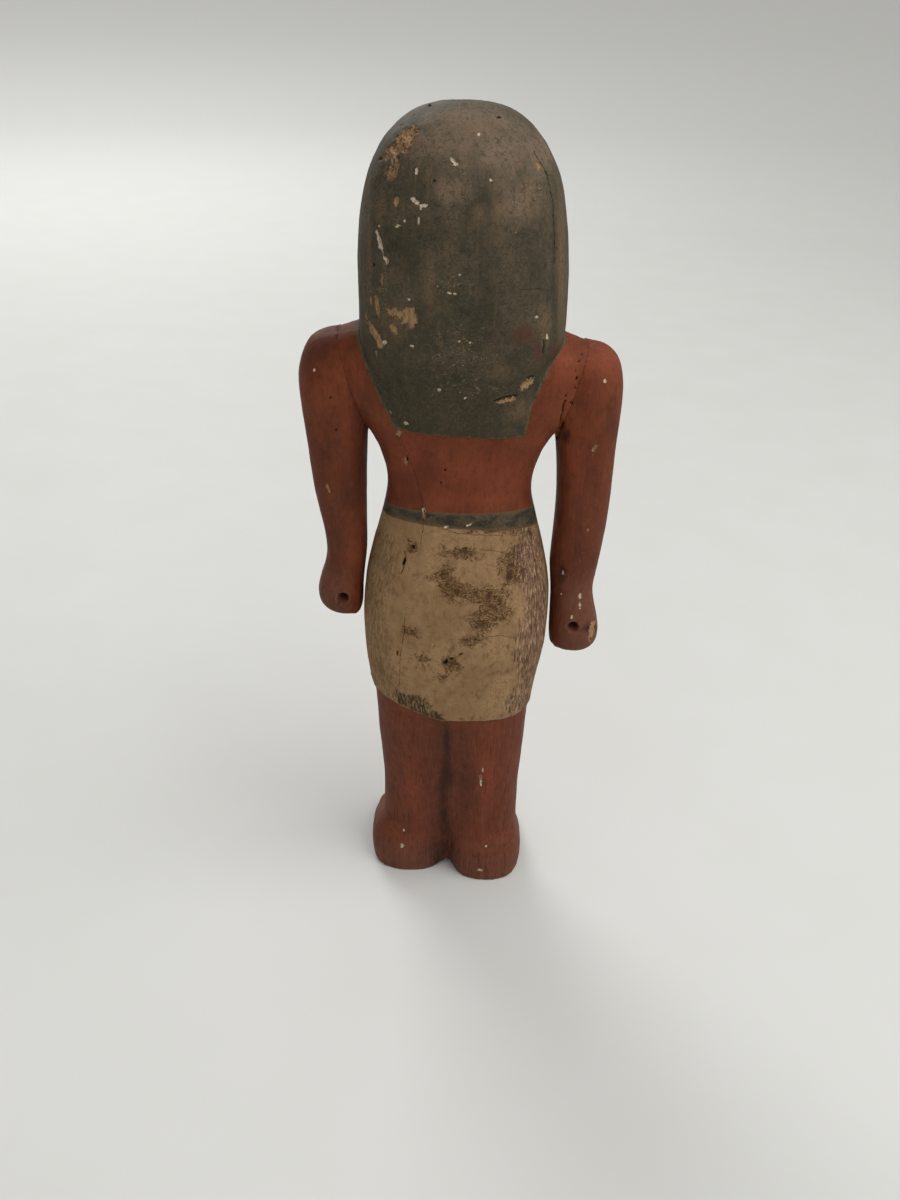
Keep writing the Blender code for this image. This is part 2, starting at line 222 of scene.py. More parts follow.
def joint_distance(points):
    """How far each point is from the nearest joint, in millimetres, and far away below the armpits."""
    distances = [
        np.abs(points @ normal - offset) + 9 * (1 - near_joint(points, arm))
        for arm, (normal, offset) in joint_planes.items()
    ]
    return np.min(distances, axis=0)


def press_joints(carving):
    """Press what grew past the middle of the joints back onto it."""
    for arm, inward, offset in joints_of(carving.name):
        beyond = joint_touch - (carving.points @ inward - offset)
        move = np.maximum(beyond, 0) * near_joint(carving.points, arm)
        carving.points += move[:, None] * inward
        print(carving.name, "pressed back by at most", round(float(move.max()), 2), "mm at", arm)


# %% [markdown]
# ## A carving in rows of points
# The carving steps work on plain rows of numbers, because one line of array maths moves every point at
# once. A small class keeps a piece's points, their links and its marks together. Everything is in
# millimetres, the carver's unit, and goes back to metres at the end.

# %% Carving tools
class Carving:
    """One piece of the figure as rows of points in millimetres, with its painted and worn marks."""

    def __init__(self, node):
        grid = merged_copy(node)
        grow_joints(grid, node)
        self.name = node
        self.creases = crease_tree(grid)
        rough = bpy.data.meshes.new(node)
        grid.to_mesh(rough)
        grid.free()
        settings = {"mode": "VOXEL", "voxel_size": voxel_size * mm}
        self.mesh = with_modifier(rough, "REMESH", settings)
        self.points = self.read("vertices", "co", 3) / mm
        self.edges = self.read("edges", "vertices", 2, np.int32)
        self.links = np.bincount(self.edges.ravel(), minlength=len(self.points))
        self.marks = {}

    def read(self, domain, field, width, kind=np.float32):
        """One field of the mesh as an array."""
        items = getattr(self.mesh, domain)
        values = np.empty(len(items) * width, kind)
        items.foreach_get(field, values)
        return values.reshape(-1, width) if kind == np.int32 else values.reshape(-1, width).astype(float)

    def write_points(self):
        """Put the points back in the mesh, in metres."""
        self.mesh.vertices.foreach_set("co", (self.points * mm).astype(np.float32).ravel())
        self.mesh.update()

    def normals(self):
        """The direction out of the surface at each point."""
        self.write_points()
        return self.read("vertices", "normal", 3)

    def neighbour_mean(self, values):
        """The mean of each point's neighbours."""
        first, second = self.edges.T
        total = np.bincount(first, values[second], len(values))
        total += np.bincount(second, values[first], len(values))
        return total / self.links

    def relaxed(self, rounds, free=1, strength=0.5):
        """The points drawn towards their neighbours, where free is above 0."""
        points = self.points.copy()
        for _ in range(rounds):
            mean = np.column_stack([self.neighbour_mean(points[:, axis]) for axis in range(3)])
            points += (strength * free * (mean - points).T).T
        return points

    def crease_distance(self):
        """How far each point is from the nearest sharp edge of the solid."""
        return np.array([self.creases.find(point)[2] for point in self.points])

    def push(self, amount):
        """Move each point out of the surface, by its own amount."""
        self.points += self.normals() * amount[:, None]


# %% [markdown]
# Two helpers shape every mark. One is a smooth rise from 0 to 1, which fades a change in without a step.
# The other gives smooth random values: each corner of a grid of cells gets a value mixed from the cell's
# own numbers, so the same place always gets the same value, and the values between corners are blended.

# %% Smooth rises and random values
def ease(values, low, high):
    """A smooth rise from 0 at low to 1 at high."""
    t = np.clip((values - low) / (high - low), 0, 1)
    return t * t * (3 - 2 * t)


hash_steps = np.array((73856093, 19349663, 83492791))


def wander(points, size, seed):
    """Smooth random values from -1 to 1, in bumps about that many millimetres wide."""
    place = points / size + seed * 17.31
    cell = np.floor(place).astype(np.int64)
    blend = place - cell
    blend = blend * blend * (3 - 2 * blend)
    value = np.zeros(len(points))
    for corner in np.ndindex(2, 2, 2):
        mixed = np.abs((cell + corner) @ hash_steps + seed * 7919) % 2147483647
        mixed = (mixed ^ (mixed >> 13)) * 48271 % 2147483647
        mixed = (mixed ^ (mixed >> 11)) * 69621 % 2147483647
        weight = np.prod(np.where(corner, blend, 1 - blend), axis=1)
        value += weight * (mixed / 1073741823.5 - 1)
    return value


# %% [markdown]
# Now each of the three solids is remeshed, and its points are read out.

# %% Remesh the three pieces
carvings = {node: Carving(node) for node in ("figure_body", "left_arm", "right_arm")}
for carving in carvings.values():
    print(carving.name, "has", len(carving.points), "points")

# %% [markdown]
# ## Smooth wood
# Relaxing is repeated where the solid is only faceted, and held back near its sharp edges. The face is
# all small forms, so it gets a few rounds everywhere. At last a few rounds over everything take the
# machine sharpness off the edges, as worn carving has none.

# %% Relax the facets
body_middle = np.array((-0.4, 2.8))
face_rounds = 10
facet_rounds = 110
edge_rounds = 4
held_within, free_beyond = 0.6, 3
face_half_width, face_low, face_high = 24, 234, 284


def on_face(points):
    """1 on the face and the ears, and 0 away from them."""
    across = np.abs(points[:, 0] - body_middle[0])
    face = ease(-points[:, 1], 4, 9) * ease(face_half_width - across, 0, 3)
    return face * ease(points[:, 2], face_low, face_low + 6) * ease(face_high - points[:, 2], 0, 3)


for carving in carvings.values():
    away = ease(carving.crease_distance(), held_within, free_beyond)
    face = on_face(carving.points)
    carving.points = carving.relaxed(facet_rounds, away * (1 - face))
    carving.points = carving.relaxed(face_rounds, face)
    carving.points = carving.relaxed(edge_rounds, ease(joint_distance(carving.points), 1, 2.5))
    press_joints(carving)
    print(carving.name, "held near edges:", round(float((away < 0.5).mean()), 2))

# %% [markdown]
# ## Where each paint goes
# The wig, the belt and the kilt are zones of paint. Each zone is a signed distance: how many
# millimetres a point is inside the zone's edge. A distance stays smooth from point to point, so the
# material can cut it off sharply, between the points of the mesh, and make the brush's edge uneven.

# %% Zones of paint
wig_bottom, wig_tilt = 202.2, 0.04
wig_side_levels = (202.2, 211.5, 222, 230.4, 240)
wig_side_widths = (21.3, 24, 28.65, 33.3, 33.75)
wig_side_middles = (0.3, 1.8, 2.1, 0.75, 0.6)
shoulder_top = 240
window_levels = (197.1, 228, 235.5, 241.5, 250.5, 264, 271.5, 276.6, 279.6, 281.1)
window_widths = (8.1, 9, 11.4, 15, 17.1, 17.7, 16.8, 14.4, 10.2, 5.4)
paint_overlap = 0.45
ear_place = np.array((19.4, -19.4, 263.7))
ear_radii = np.array((3.1, 3.1, 7))
far_inside = 9


def wig_zone(points):
    """Millimetres inside the edge of the wig's paint."""
    across = points[:, 0] - body_middle[0]
    level = points[:, 2]
    middle = np.interp(level, wig_side_levels, wig_side_middles)
    side = np.interp(level, wig_side_levels, wig_side_widths) - np.abs(across - middle)
    overlap = np.interp(level, (228, 234), (paint_overlap, 3 * paint_overlap))
    lower = np.minimum(side, level - wig_bottom - wig_tilt * across) + overlap
    wig = np.where(level > shoulder_top, far_inside, lower)
    skin = np.interp(level, window_levels, window_widths) - np.abs(across) - paint_overlap
    skin = np.minimum(skin, (ease(-points[:, 1], 3, 5) - 0.5) * far_inside)
    skin = np.minimum(skin, (window_levels[-1] - level))
    wig = np.minimum(wig, -skin)
    ear = np.abs(np.column_stack((np.abs(across), points[:, 1:])) - ear_place) / ear_radii
    return np.minimum(wig, (np.linalg.norm(ear, axis=1) - 1) * ear_radii[0])


# %% [markdown]
# The belt is a dark band at the waist, painted, not carved. It is highest at the small of the back and
# widens to the figure's right. Below it the cream kilt reaches to the hem, which rises on the left.

# %% Belt and kilt
belt_top, belt_depth = 171.1, 5.7
belt_widening = 0.055
belt_side_drop = 1.8
hem_level, hem_lift, hem_lift_start = 86, 0.37, 5.1


def belt_line(points):
    """The level of the belt's upper edge around the waist."""
    back = ease(points[:, 1] - body_middle[1], -5, 15)
    return belt_top - belt_side_drop * (1 - back)


def belt_zone(points):
    """Millimetres inside the edges of the belt's paint."""
    below_top = belt_line(points) - points[:, 2]
    depth = belt_depth - belt_widening * (points[:, 0] - body_middle[0])
    return np.minimum(below_top, depth - below_top)


def kilt_zone(points):
    """Millimetres inside the edges of the kilt's paint, which runs up under the belt's."""
    across = points[:, 0] - body_middle[0]
    hem = hem_level + hem_lift * np.maximum(0, across - hem_lift_start)
    return np.minimum(points[:, 2] - hem, belt_line(points) - belt_depth / 2 - points[:, 2])


body = carvings["figure_body"]
body.marks["wig"] = wig_zone(body.points)
body.marks["belt"] = belt_zone(body.points)
body.marks["kilt"] = kilt_zone(body.points)
for zone in ("wig", "belt", "kilt"):
    print(zone, "covers", round(float((body.marks[zone] > 0).mean() * 100)), "percent of the body")

# %% [markdown]
# ## The face
# The figure's front is turned away in the photo, so these small forms are a carver's usual ones. The
# face is a calm, general one: almond eyes with a raised rim, a line between the lips and two nostrils.

# %% Small forms of the front
eye_across, eye_level = 8.1, 265.8
eye_half_width, eye_half_height = 4.3, 1.75
mouth_level, mouth_half_width = 251.1, 4.3
nostril_across, nostril_level = 1.7, 255.8


def bump(distance, width):
    """1 at distance 0, fading out over about that width."""
    return np.exp(-((distance / width) ** 2))


def eye_shape(points):
    """Above 0 inside the almond of either eye, 1 at its middle."""
    across = (np.abs(points[:, 0] - body_middle[0]) - eye_across) / eye_half_width
    level = (points[:, 2] - eye_level - 0.25 * across) / eye_half_height
    return 1 - across**2 - np.abs(level)


face = on_face(body.points) * (body.marks["wig"] < 0)
across = np.abs(body.points[:, 0] - body_middle[0])
level = body.points[:, 2]
lids = 0.28 * bump(eye_shape(body.points), 0.32)
mouth_curve = mouth_level + 0.035 * across**2
lips = -0.55 * bump(level - mouth_curve, 0.4) * ease(mouth_half_width + 0.6 - across, 0, 1.2)
nostrils = -0.7 * bump(across - nostril_across, 0.7) * bump(level - nostril_level, 0.6)
philtrum = -0.15 * bump(across, 0.6) * ease(level, 253.2, 253.8) * ease(255.6 - level, 0, 0.8)
body.push(face * (lids + lips + nostrils + philtrum))
print("the face's points:", int((face > 0.5).sum()))

# %% [markdown]
# ## The hands
# The fists are closed, and a carver marks their fingers with a few level cuts across the front. Three
# shallow grooves at equal heights do the same here, and they fade out at the fist's upper and lower end.

# %% Hands
finger_gap, finger_groove, finger_depth = 3.1, 0.32, 0.3
fist_middles = {"left_arm": 129.5, "right_arm": 116}
fist_half_height = 7.5


def groove_rows(levels, middle, spacing, count):
    """1 along evenly spaced level lines, fading out on both sides of each."""
    rows = (np.arange(count) - (count - 1) / 2) * spacing + middle
    return sum(bump(levels - row, finger_groove) for row in rows)


for node, fist_middle in fist_middles.items():
    hand = carvings[node]
    front = ease(-(hand.points[:, 1] - body_middle[1]), 1, 5)
    rows = groove_rows(hand.points[:, 2], fist_middle, finger_gap, 3)
    within = ease(fist_half_height - np.abs(hand.points[:, 2] - fist_middle), 0, 2)
    hand.push(-finger_depth * rows * front * within)
    print(node, "has finger grooves on", int((rows * front * within > 0.5).sum()), "points")

# %% [markdown]
# ## Marks placed from the photo
# Each chip, stain and crack is where the photo shows it. A row gives a mark's middle, its full width and
# height in photo pixels and, where it is turned, its turn in degrees. A point of the mesh gets a mark if
# the camera sees it there: its pixel is inside the mark's oval, and its surface faces the camera. The
# oval's edge is then made ragged with smooth random values, as flaked paint is.

# %% Chips, bare wood and pits
crumbly_spots = [
    (408, 137, 16, 29, -22), (397, 149, 12, 24, -58), (386, 156, 4, 12, -65), (392, 169, 10, 21, -24),
]
bare_wood_spots = [
    (396, 313, 19, 8, -12), (408, 315, 17, 13), (413, 321, 9, 11), (374, 332, 6, 26, 28),
    (377, 305, 4, 24, 8), (371, 300, 3, 14), (394, 330, 6, 16, 36), (380, 343, 5, 10, 20),
    (382, 278, 2.5, 16, 2), (366, 316, 2, 9, 6), (376, 354, 2, 6), (390, 412, 2, 5, 30),
    (528, 384, 15, 5, 42), (507, 400.5, 19, 3.6, 12), (399, 434, 6, 6), (396, 202, 5, 11),
    (406, 462, 3, 9, 8), (424, 515, 3, 9, 5), (538, 165, 3, 9, 25), (594, 450, 4, 9, -20),
    (592, 629, 5, 22, -8), (481, 778, 2.5, 8, 5), (328, 488, 2.5, 9, 20), (588, 530, 3, 3),
]
white_spots = [
    (453, 160, 5, 9, 25), (456, 163.5, 6, 3, -10), (414, 200, 11, 4, -42), (424, 205.5, 9, 4, 12),
    (421, 209, 3, 2.5), (379.5, 243, 3.6, 22, 16), (386, 260, 4, 7, 20), (416.5, 171, 3, 8, -8),
    (419, 220, 2.5, 9), (397, 226, 6, 3, 20), (405, 221, 2.5, 3), (378.7, 226, 2.5, 3), (479, 134, 3, 3),
    (491, 180, 3.5, 3), (460, 275, 3, 2.5), (450, 293, 4, 2.5), (455, 294, 4, 2.5), (438, 286, 2.5, 2.5),
    (406, 423, 4, 3.5), (537, 317, 3, 3), (459, 342, 3, 2.5), (465, 398, 4, 2, 20), (439, 390, 3, 2.5),
    (547.5, 337, 3, 6, 10), (384, 343, 4, 4), (409, 299.5, 3, 2.5), (412, 346, 5, 2, -20),
    (424, 510, 4, 5, 20), (446, 527, 5, 2.2, 10), (469, 525, 6, 2, 20), (580, 596, 2.6, 5),
    (580, 605, 3.5, 6), (572, 617, 3, 3), (563, 572, 2, 4), (561, 594, 2, 3), (605, 381, 3, 4),
    (314, 370, 2.5, 3), (483, 770, 1.8, 6), (481, 783, 1.8, 6), (486, 846, 2.6, 2.6), (480, 870, 5, 3.4),
    (404, 830, 2, 4), (402, 846, 3, 5), (500, 166, 2, 2), (482, 147, 2.2, 2), (441, 351, 2, 2),
    (463, 366, 2.2, 2), (470, 343, 2, 2),
]
deep_pits = [
    (499, 117, 4, 3), (404, 562, 3, 10, -12), (413, 547, 4, 4), (446, 662, 4, 5, -15),
    (452, 659, 5, 2, 20), (460, 655, 6, 1.6, 25), (407, 460, 2, 5), (422, 656, 3, 3), (434, 181, 3, 3),
    (430, 105, 4, 2.4), (374, 265, 3, 4), (576, 388, 2.4, 2.4), (577, 378, 2.2, 4), (576, 371, 2, 3),
    (579, 361, 2.2, 2.4), (582, 354, 2, 2.4), (441, 483, 2, 2), (445, 470, 2, 2), (566, 396, 2, 2),
    (571, 403, 2.4, 2), (331, 398, 2.4, 2.4), (336, 430, 2, 3), (397, 653, 2, 4),
]
print("marks:", len(bare_wood_spots), "bare,", len(white_spots), "white,", len(deep_pits), "pits")

# %% [markdown]
# Dirt, painted shade and handling have soft edges. Painted shade lies between the legs and under the arms,
# dirt on the kilt's folds and hem, and the skin is warm where hands have rubbed the paint thin and where a
# highlight is painted on the right shoulder.

# %% Soft marks on body and kilt
# Painted shade: deepest in the groove between the legs, under the arms, along their inner sides and beside
# the right fist.
painted_shade_spots = [
    (447, 776, 22, 50), (447, 773, 12, 24), (447, 742, 14, 60), (444, 812, 18, 110, 3),
    (438, 860, 22, 60, 6), (566, 436, 18, 26), (562, 572, 16, 34), (589, 628, 26, 14), (367, 470, 8, 150),
]
# Fainter, broad painted shade over the arms, the shoulders and the groove between the legs.
faint_painted_shade_spots = [
    (362, 470, 30, 190), (348, 500, 40, 110, -5), (330, 440, 34, 110, -8), (556, 545, 20, 150),
    (552, 470, 18, 110), (343, 604, 34, 26), (446, 742, 44, 100), (464, 780, 30, 110),
    (436, 826, 44, 150, 4), (441, 856, 44, 90, 4), (612, 420, 16, 90), (384, 470, 14, 100),
    (318, 350, 50, 70),
]
# Warmer, lighter skin: rubbed places, and a painted highlight on the right shoulder.
warm_rub_and_highlight_spots = [
    (564, 360, 26, 44, 15), (480, 470, 120, 56), (408, 452, 40, 50), (598, 362, 46, 40),
    (470, 500, 110, 24), (424, 822, 30, 80, 8), (412, 790, 36, 70), (545, 445, 20, 40, 20),
    (487, 775, 26, 90), (575, 470, 24, 70),
]
brown_stains = [
    (448, 578, 34, 30, 10), (452, 590, 36, 26), (466, 594, 24, 20), (484, 598, 50, 32, 8),
    (496, 606, 36, 44, 20), (482, 622, 30, 30), (450, 664, 30, 20, 15), (423, 657, 16, 24),
    (412, 547, 18, 14), (462, 553, 64, 16, -4), (512, 566, 36, 46), (444, 678, 16, 14),
    (412, 632, 26, 14, -10), (470, 640, 30, 16, 10), (500, 530, 90, 14, 2), (446, 574, 20, 18),
]
rubbed_sides = [
    (530, 668, 34, 100, 10), (536, 600, 28, 130, 4), (518, 704, 34, 40), (376, 610, 24, 190),
    (386, 560, 26, 80), (528, 556, 32, 80), (384, 668, 24, 90, 10), (532, 640, 28, 80),
]
hem_dirt = [
    (418, 708, 40, 24, -28), (404, 700, 26, 18, -35), (434, 717, 26, 14, -12),
]
red_rub = [
    (522, 334, 40, 30, 10), (538, 352, 16, 40, 10), (554, 352, 10, 40, -20),
]
print("soft marks:", len(painted_shade_spots), "dark,", len(brown_stains), "brown stains")

# %% [markdown]
# The wig's dark paint has aged in patches: dust and a painted highlight on the crown, brown where it is
# thin, nearly black where it is still thick, painted shade along both sides, and a fine crazing low on the
# back.

# %% Soft marks on the wig
# Pale dust on the crown, and over it a painted highlight.
crown_dust_and_highlight_spots = [
    (500, 150, 120, 90), (470, 120, 120, 40), (545, 150, 40, 80, -20), (450, 190, 70, 40),
    (440, 145, 90, 70), (520, 205, 60, 60),
]
wig_crazed_spots = [
    (455, 352, 110, 90), (456, 286, 60, 36), (470, 388, 100, 34), (398, 222, 40, 26), (384, 290, 20, 60),
    (540, 180, 30, 60, -20),
]
wig_brown_spots = [
    (499, 205, 24, 100), (533, 192, 26, 56), (380, 205, 16, 40), (369, 245, 7, 190), (561, 262, 11, 220),
    (545, 322, 18, 60), (477, 131, 46, 16), (500, 372, 44, 20), (430, 285, 14, 80), (396, 320, 30, 60),
    (520, 410, 40, 30), (480, 215, 24, 30),
]
# Dark patches; the two long thin strips at the wig's sides are painted shade.
wig_dark_and_shade_spots = [
    (476, 182, 34, 34), (530, 240, 30, 60), (468, 318, 60, 70), (408, 250, 46, 60),
    (388, 384, 26, 60, -20), (361, 250, 4, 200), (553, 250, 5, 200), (440, 380, 80, 40),
    (380, 180, 10, 60, -10), (430, 236, 60, 30), (540, 392, 10, 60, 20), (400, 112, 30, 20, 30),
]
print("wig marks:", len(wig_crazed_spots), "crazed,", len(wig_brown_spots), "brown")

# %% [markdown]
# A soft mark, such as a stain, keeps its oval's slope from 0 at the edge to 1 in the middle, and where
# soft marks overlap they add up as thin washes do. A hard mark, such as a chip, has a ragged edge, and
# the material cuts it off sharply at 0.

# %% Spots
ragged_chip, ragged_stain, ragged_soft = 0.55, 0.4, 0.15
pixel_size = 0.42


class Sight:
    """What the photo's camera sees of one piece: each point's pixel, and whether it faces the camera."""

    def __init__(self, carving):
        self.points = carving.points.copy()
        self.pixels = photo_pixels(self.points)
        towards = np.array(camera_place) - self.points
        towards /= np.linalg.norm(towards, axis=1)[:, None]
        self.facing = np.einsum("ij,ij->i", carving.normals(), towards)
        self.hidden = ease(0.12 - self.facing, 0, 0.1)

    def oval(self, mark, ragged, seed):
        """1 in the middle of an oval of the photo, 0 at its ragged edge, and below 0 outside."""
        x, y, width, height, *turn = mark
        offset = self.pixels - (x, y)
        angle = math.radians(sum(turn))
        along = offset[:, 0] * math.cos(angle) - offset[:, 1] * math.sin(angle)
        down = offset[:, 0] * math.sin(angle) + offset[:, 1] * math.cos(angle)
        value = 1 - np.hypot(along / (width / 2), down / (height / 2))
        near = value > -1.5
        grain = max(0.8, 0.3 * min(width, height) * pixel_size)
        value[near] += ragged * wander(self.points[near], grain, seed)
        value[near] += 0.6 * ragged * wander(self.points[near], grain / 2.1, seed + 1)
        return value - 3 * self.hidden

    def spots(self, marks, ragged, seed):
        """The highest of all the spots in a list."""
        fields = [self.oval(mark, ragged, seed + 5 * number) for number, mark in enumerate(marks)]
        return np.clip(np.max(fields, axis=0), -1, 1)

    def stains(self, marks, ragged, seed):
        """All the soft spots in a list, laid over each other."""
        clean = np.ones(len(self.points))
        for number, mark in enumerate(marks):
            clean *= 1 - np.clip(self.oval(mark, ragged, seed + 5 * number), 0, 1)
        return 1 - clean


# %% [markdown]
# Every list is now laid over all three pieces. The seed changes from list to list and from mark to mark,
# so each ragged edge has a course of its own.

# %% Lay the marks over the pieces
hard_marks = {"crumbly": crumbly_spots, "bare": bare_wood_spots, "white": white_spots, "pit": deep_pits}
soft_marks = {
    "dark": painted_shade_spots, "dim": faint_painted_shade_spots, "warm": warm_rub_and_highlight_spots, "stain": brown_stains,
    "rubbed": rubbed_sides, "hem_dirt": hem_dirt, "red_rub": red_rub, "dust_and_sheen": crown_dust_and_highlight_spots,
    "wig_brown": wig_brown_spots, "wig_dark": wig_dark_and_shade_spots, "crazed": wig_crazed_spots,
}
sights = {node: Sight(carving) for node, carving in carvings.items()}
for node, carving in carvings.items():
    for seed, (mark, spots) in enumerate(hard_marks.items()):
        carving.marks[mark] = sights[node].spots(spots, ragged_chip, 100 * seed)
    for seed, (mark, spots) in enumerate(soft_marks.items()):
        ragged = ragged_stain if mark in ("stain", "hem_dirt") else ragged_soft
        carving.marks[mark] = sights[node].stains(spots, ragged, 1000 + 100 * seed)
    print(node, {mark: int((carving.marks[mark] > 0).sum()) for mark in hard_marks})

# %% [markdown]
# ## Cracks
# A crack is a line of pixels. Each point stores which side of the nearest line it is on and how far
# from it, in millimetres. The sign changes at the line itself, so the material can draw a hairline much
# thinner than the mesh's faces. A second mark says how wide the crack is open there, 0 past its ends.

# %% Crack lines
cracks = [
    ([(535, 152), (541, 162), (548, 176), (552, 197), (554, 220), (555, 240), (554, 262)], 0.28),
    ([(521, 290), (535, 289), (551, 290)], 0.2),
    ([(549, 292), (547, 299), (548, 312)], 0.12),
    ([(401, 438), (407, 452), (412, 465), (417, 480), (421, 495), (424, 510), (423, 528), (421, 546)], 0.12),
    ([(405, 552), (404, 563), (401, 573)], 0.3),
    ([(405, 618), (404, 635), (400, 658), (399, 684)], 0.14),
    ([(487, 637), (500, 636), (514, 638)], 0.12),
    ([(566, 401), (564, 408), (562, 417), (561, 426), (557, 436), (552, 442)], 0.5),
    ([(440, 560), (452, 549), (470, 548), (495, 551), (516, 556)], 0.1),
    ([(470, 412), (482, 405), (486, 402)], 0.12),
    ([(520, 388), (526, 381), (533, 376)], 0.45),
    ([(495, 401), (505, 397), (516, 395)], 0.4),
    ([(544, 340), (545, 347), (543, 353)], 0.35),
    ([(440, 528), (456, 533), (478, 535), (500, 535)], 0.16),
]
crack_reach = 3.0
past_end, corner_overlap = 20, 0.25


def crack_marks(sight):
    """For each point: the signed distance to the nearest crack, and how wide it is open there."""
    side = np.full(len(sight.points), crack_reach)
    width = np.zeros(len(sight.points))
    nearest = np.full(len(sight.points), crack_reach)
    for number, (line, openness) in enumerate(cracks):
        shift = 0.8 * wander(sight.points, 2.6, 700 + number) + 0.5 * wander(sight.points, 1.1, 720 + number)
        for part, (start, end) in enumerate(zip(line, line[1:])):
            start, end = np.array(start, float), np.array(end, float)
            along = (end - start) / np.linalg.norm(end - start)
            offset = sight.pixels - start
            t = offset @ along / np.linalg.norm(end - start)
            before = 0 if part == 0 else corner_overlap
            after = 0 if part == len(line) - 2 else corner_overlap
            across = (offset[:, 0] * along[1] - offset[:, 1] * along[0] + shift) * pixel_size
            beyond = np.maximum(-t - before, t - 1 - after)
            reach = np.abs(across) + np.maximum(beyond, 0) * past_end + 3 * crack_reach * sight.hidden
            closer = reach < nearest
            nearest[closer] = reach[closer]
            side[closer] = across[closer]
            width[closer] = openness
    return side, width * ease(crack_reach - nearest, 0, 1)


for node, carving in carvings.items():
    carving.marks["crack_side"], carving.marks["crack_width"] = crack_marks(sights[node])
    print(node, "cracked points:", int((carving.marks["crack_width"] > 0.1).sum()))

# %% [markdown]
# ## Carve the damage
# Flaked places are hollow, because the ground under the paint is gone too: wood shows about half a
# millimetre down, white ground a little less. Pits and cracks go deeper. The large chip on the wig has a
# crumbly floor. Every cut is kept shallow near its own edge, so that the edge stays readable.

# %% Hollow out chips, pits and cracks
crumbly_depth, bare_depth, white_depth, pit_depth, crack_depth = 0.9, 0.5, 0.22, 0.9, 1
crumble = 0.55


def carve_damage(carving):
    """Press the marks of damage into the surface."""
    marks, points = carving.marks, carving.points
    floor = 1 + crumble * wander(points, 1.3, 31) + crumble * wander(points, 2.5, 32)
    amount = -crumbly_depth * ease(marks["crumbly"], 0, 0.2) * floor
    amount -= bare_depth * ease(marks["bare"], 0, 0.25)
    amount -= white_depth * ease(marks["white"], 0, 0.3)
    amount -= pit_depth * ease(marks["pit"], 0, 0.6)
    crack_profile = bump(marks["crack_side"], 0.3 + 0.4 * marks["crack_width"])
    amount -= crack_depth * ease(marks["crack_width"], 0.1, 0.6) * crack_profile
    carving.push(amount)


for carving in carvings.values():
    carve_damage(carving)
print("deepest chip:", crumbly_depth, "mm")

# %% [markdown]
# ## Tool marks and grain
# The wood was shaped with a blade, so the surface is never quite even: broad shallow flats, long
# upright grain and a fine grit of paint. These follow a rule over the whole surface, which is what
# Geometry Nodes are good at: noise read at each point moves it along the normal. The tree is built
# here, with named inputs, and is used on all three pieces. The same small classes write this tree
# and, later, the paint: a signal is one socket, with the usual operators, and a recipe adds nodes.

# %% Signals and recipes
class Signal:
    """One number, vector or colour that travels through a node tree."""

    def __init__(self, recipe, socket):
        self.recipe = recipe
        self.socket = socket

    def maths(self, operation, first, second):
        """One Math node."""
        return self.recipe.node("ShaderNodeMath", {"operation": operation}, {0: first, 1: second})

    def __add__(self, other):
        return self.maths("ADD", self, other)

    __radd__ = __add__

    def __sub__(self, other):
        return self.maths("SUBTRACT", self, other)

    def __rsub__(self, other):
        return self.maths("SUBTRACT", other, self)

    def __mul__(self, other):
        return self.maths("MULTIPLY", self, other)

    __rmul__ = __mul__

    def __truediv__(self, other):
        return self.maths("DIVIDE", self, other)

    def __abs__(self):
        return self.maths("ABSOLUTE", self, 0)


class Recipe:
    """A node tree, filled node by node."""

    def __init__(self, tree):
        self.tree = tree

    def node(self, kind, settings=None, sockets=None, output=0):
        """Add one node: its settings first, then a value or a signal for each socket."""
        made = self.tree.nodes.new(kind)
        for name, value in (settings or {}).items():
            setattr(made, name, value)
        for key, value in (sockets or {}).items():
            if isinstance(value, Signal):
                self.tree.links.new(value.socket, made.inputs[key])
            else:
                made.inputs[key].default_value = value
        return Signal(self, made.outputs[output]) if made.outputs else None

    def scaled(self, vector, sizes):
        """A vector divided by a size along each axis."""
        factors = tuple(1 / size for size in sizes)
        return self.node("ShaderNodeVectorMath", {"operation": "MULTIPLY"}, {0: vector, 1: factors})

    def noise(self, place, sizes, detail=2, roughness=0.5, seed=0, warp=0):
        """Smooth noise around 0.5, in bumps of that size along each axis, in the place's units."""
        sockets = {"Vector": self.scaled(place, sizes), "W": seed, "Scale": 1, "Detail": detail}
        sockets |= {"Roughness": roughness, "Distortion": warp}
        return self.node("ShaderNodeTexNoise", {"noise_dimensions": "4D"}, sockets)

    def rise(self, value, low, high):
        """A smooth rise from 0 at low to 1 at high."""
        sockets = {"Value": value, "From Min": low, "From Max": high}
        return self.node("ShaderNodeMapRange", {"interpolation_type": "SMOOTHSTEP"}, sockets)

    @staticmethod
    def lower_of(first, second):
        """The lower of two signals."""
        return first.maths("MINIMUM", first, second)

    @staticmethod
    def higher_of(first, second):
        """The higher of two signals."""
        return first.maths("MAXIMUM", first, second)


# %% [markdown]
# The tree reads each point's place, in millimetres, and three noises of it. Flats are wide and shallow,
# grain is thin across and long upwards, and grit is small. A stored mark on the points, called relief,
# holds the movement back on the face and at the arms' joints.

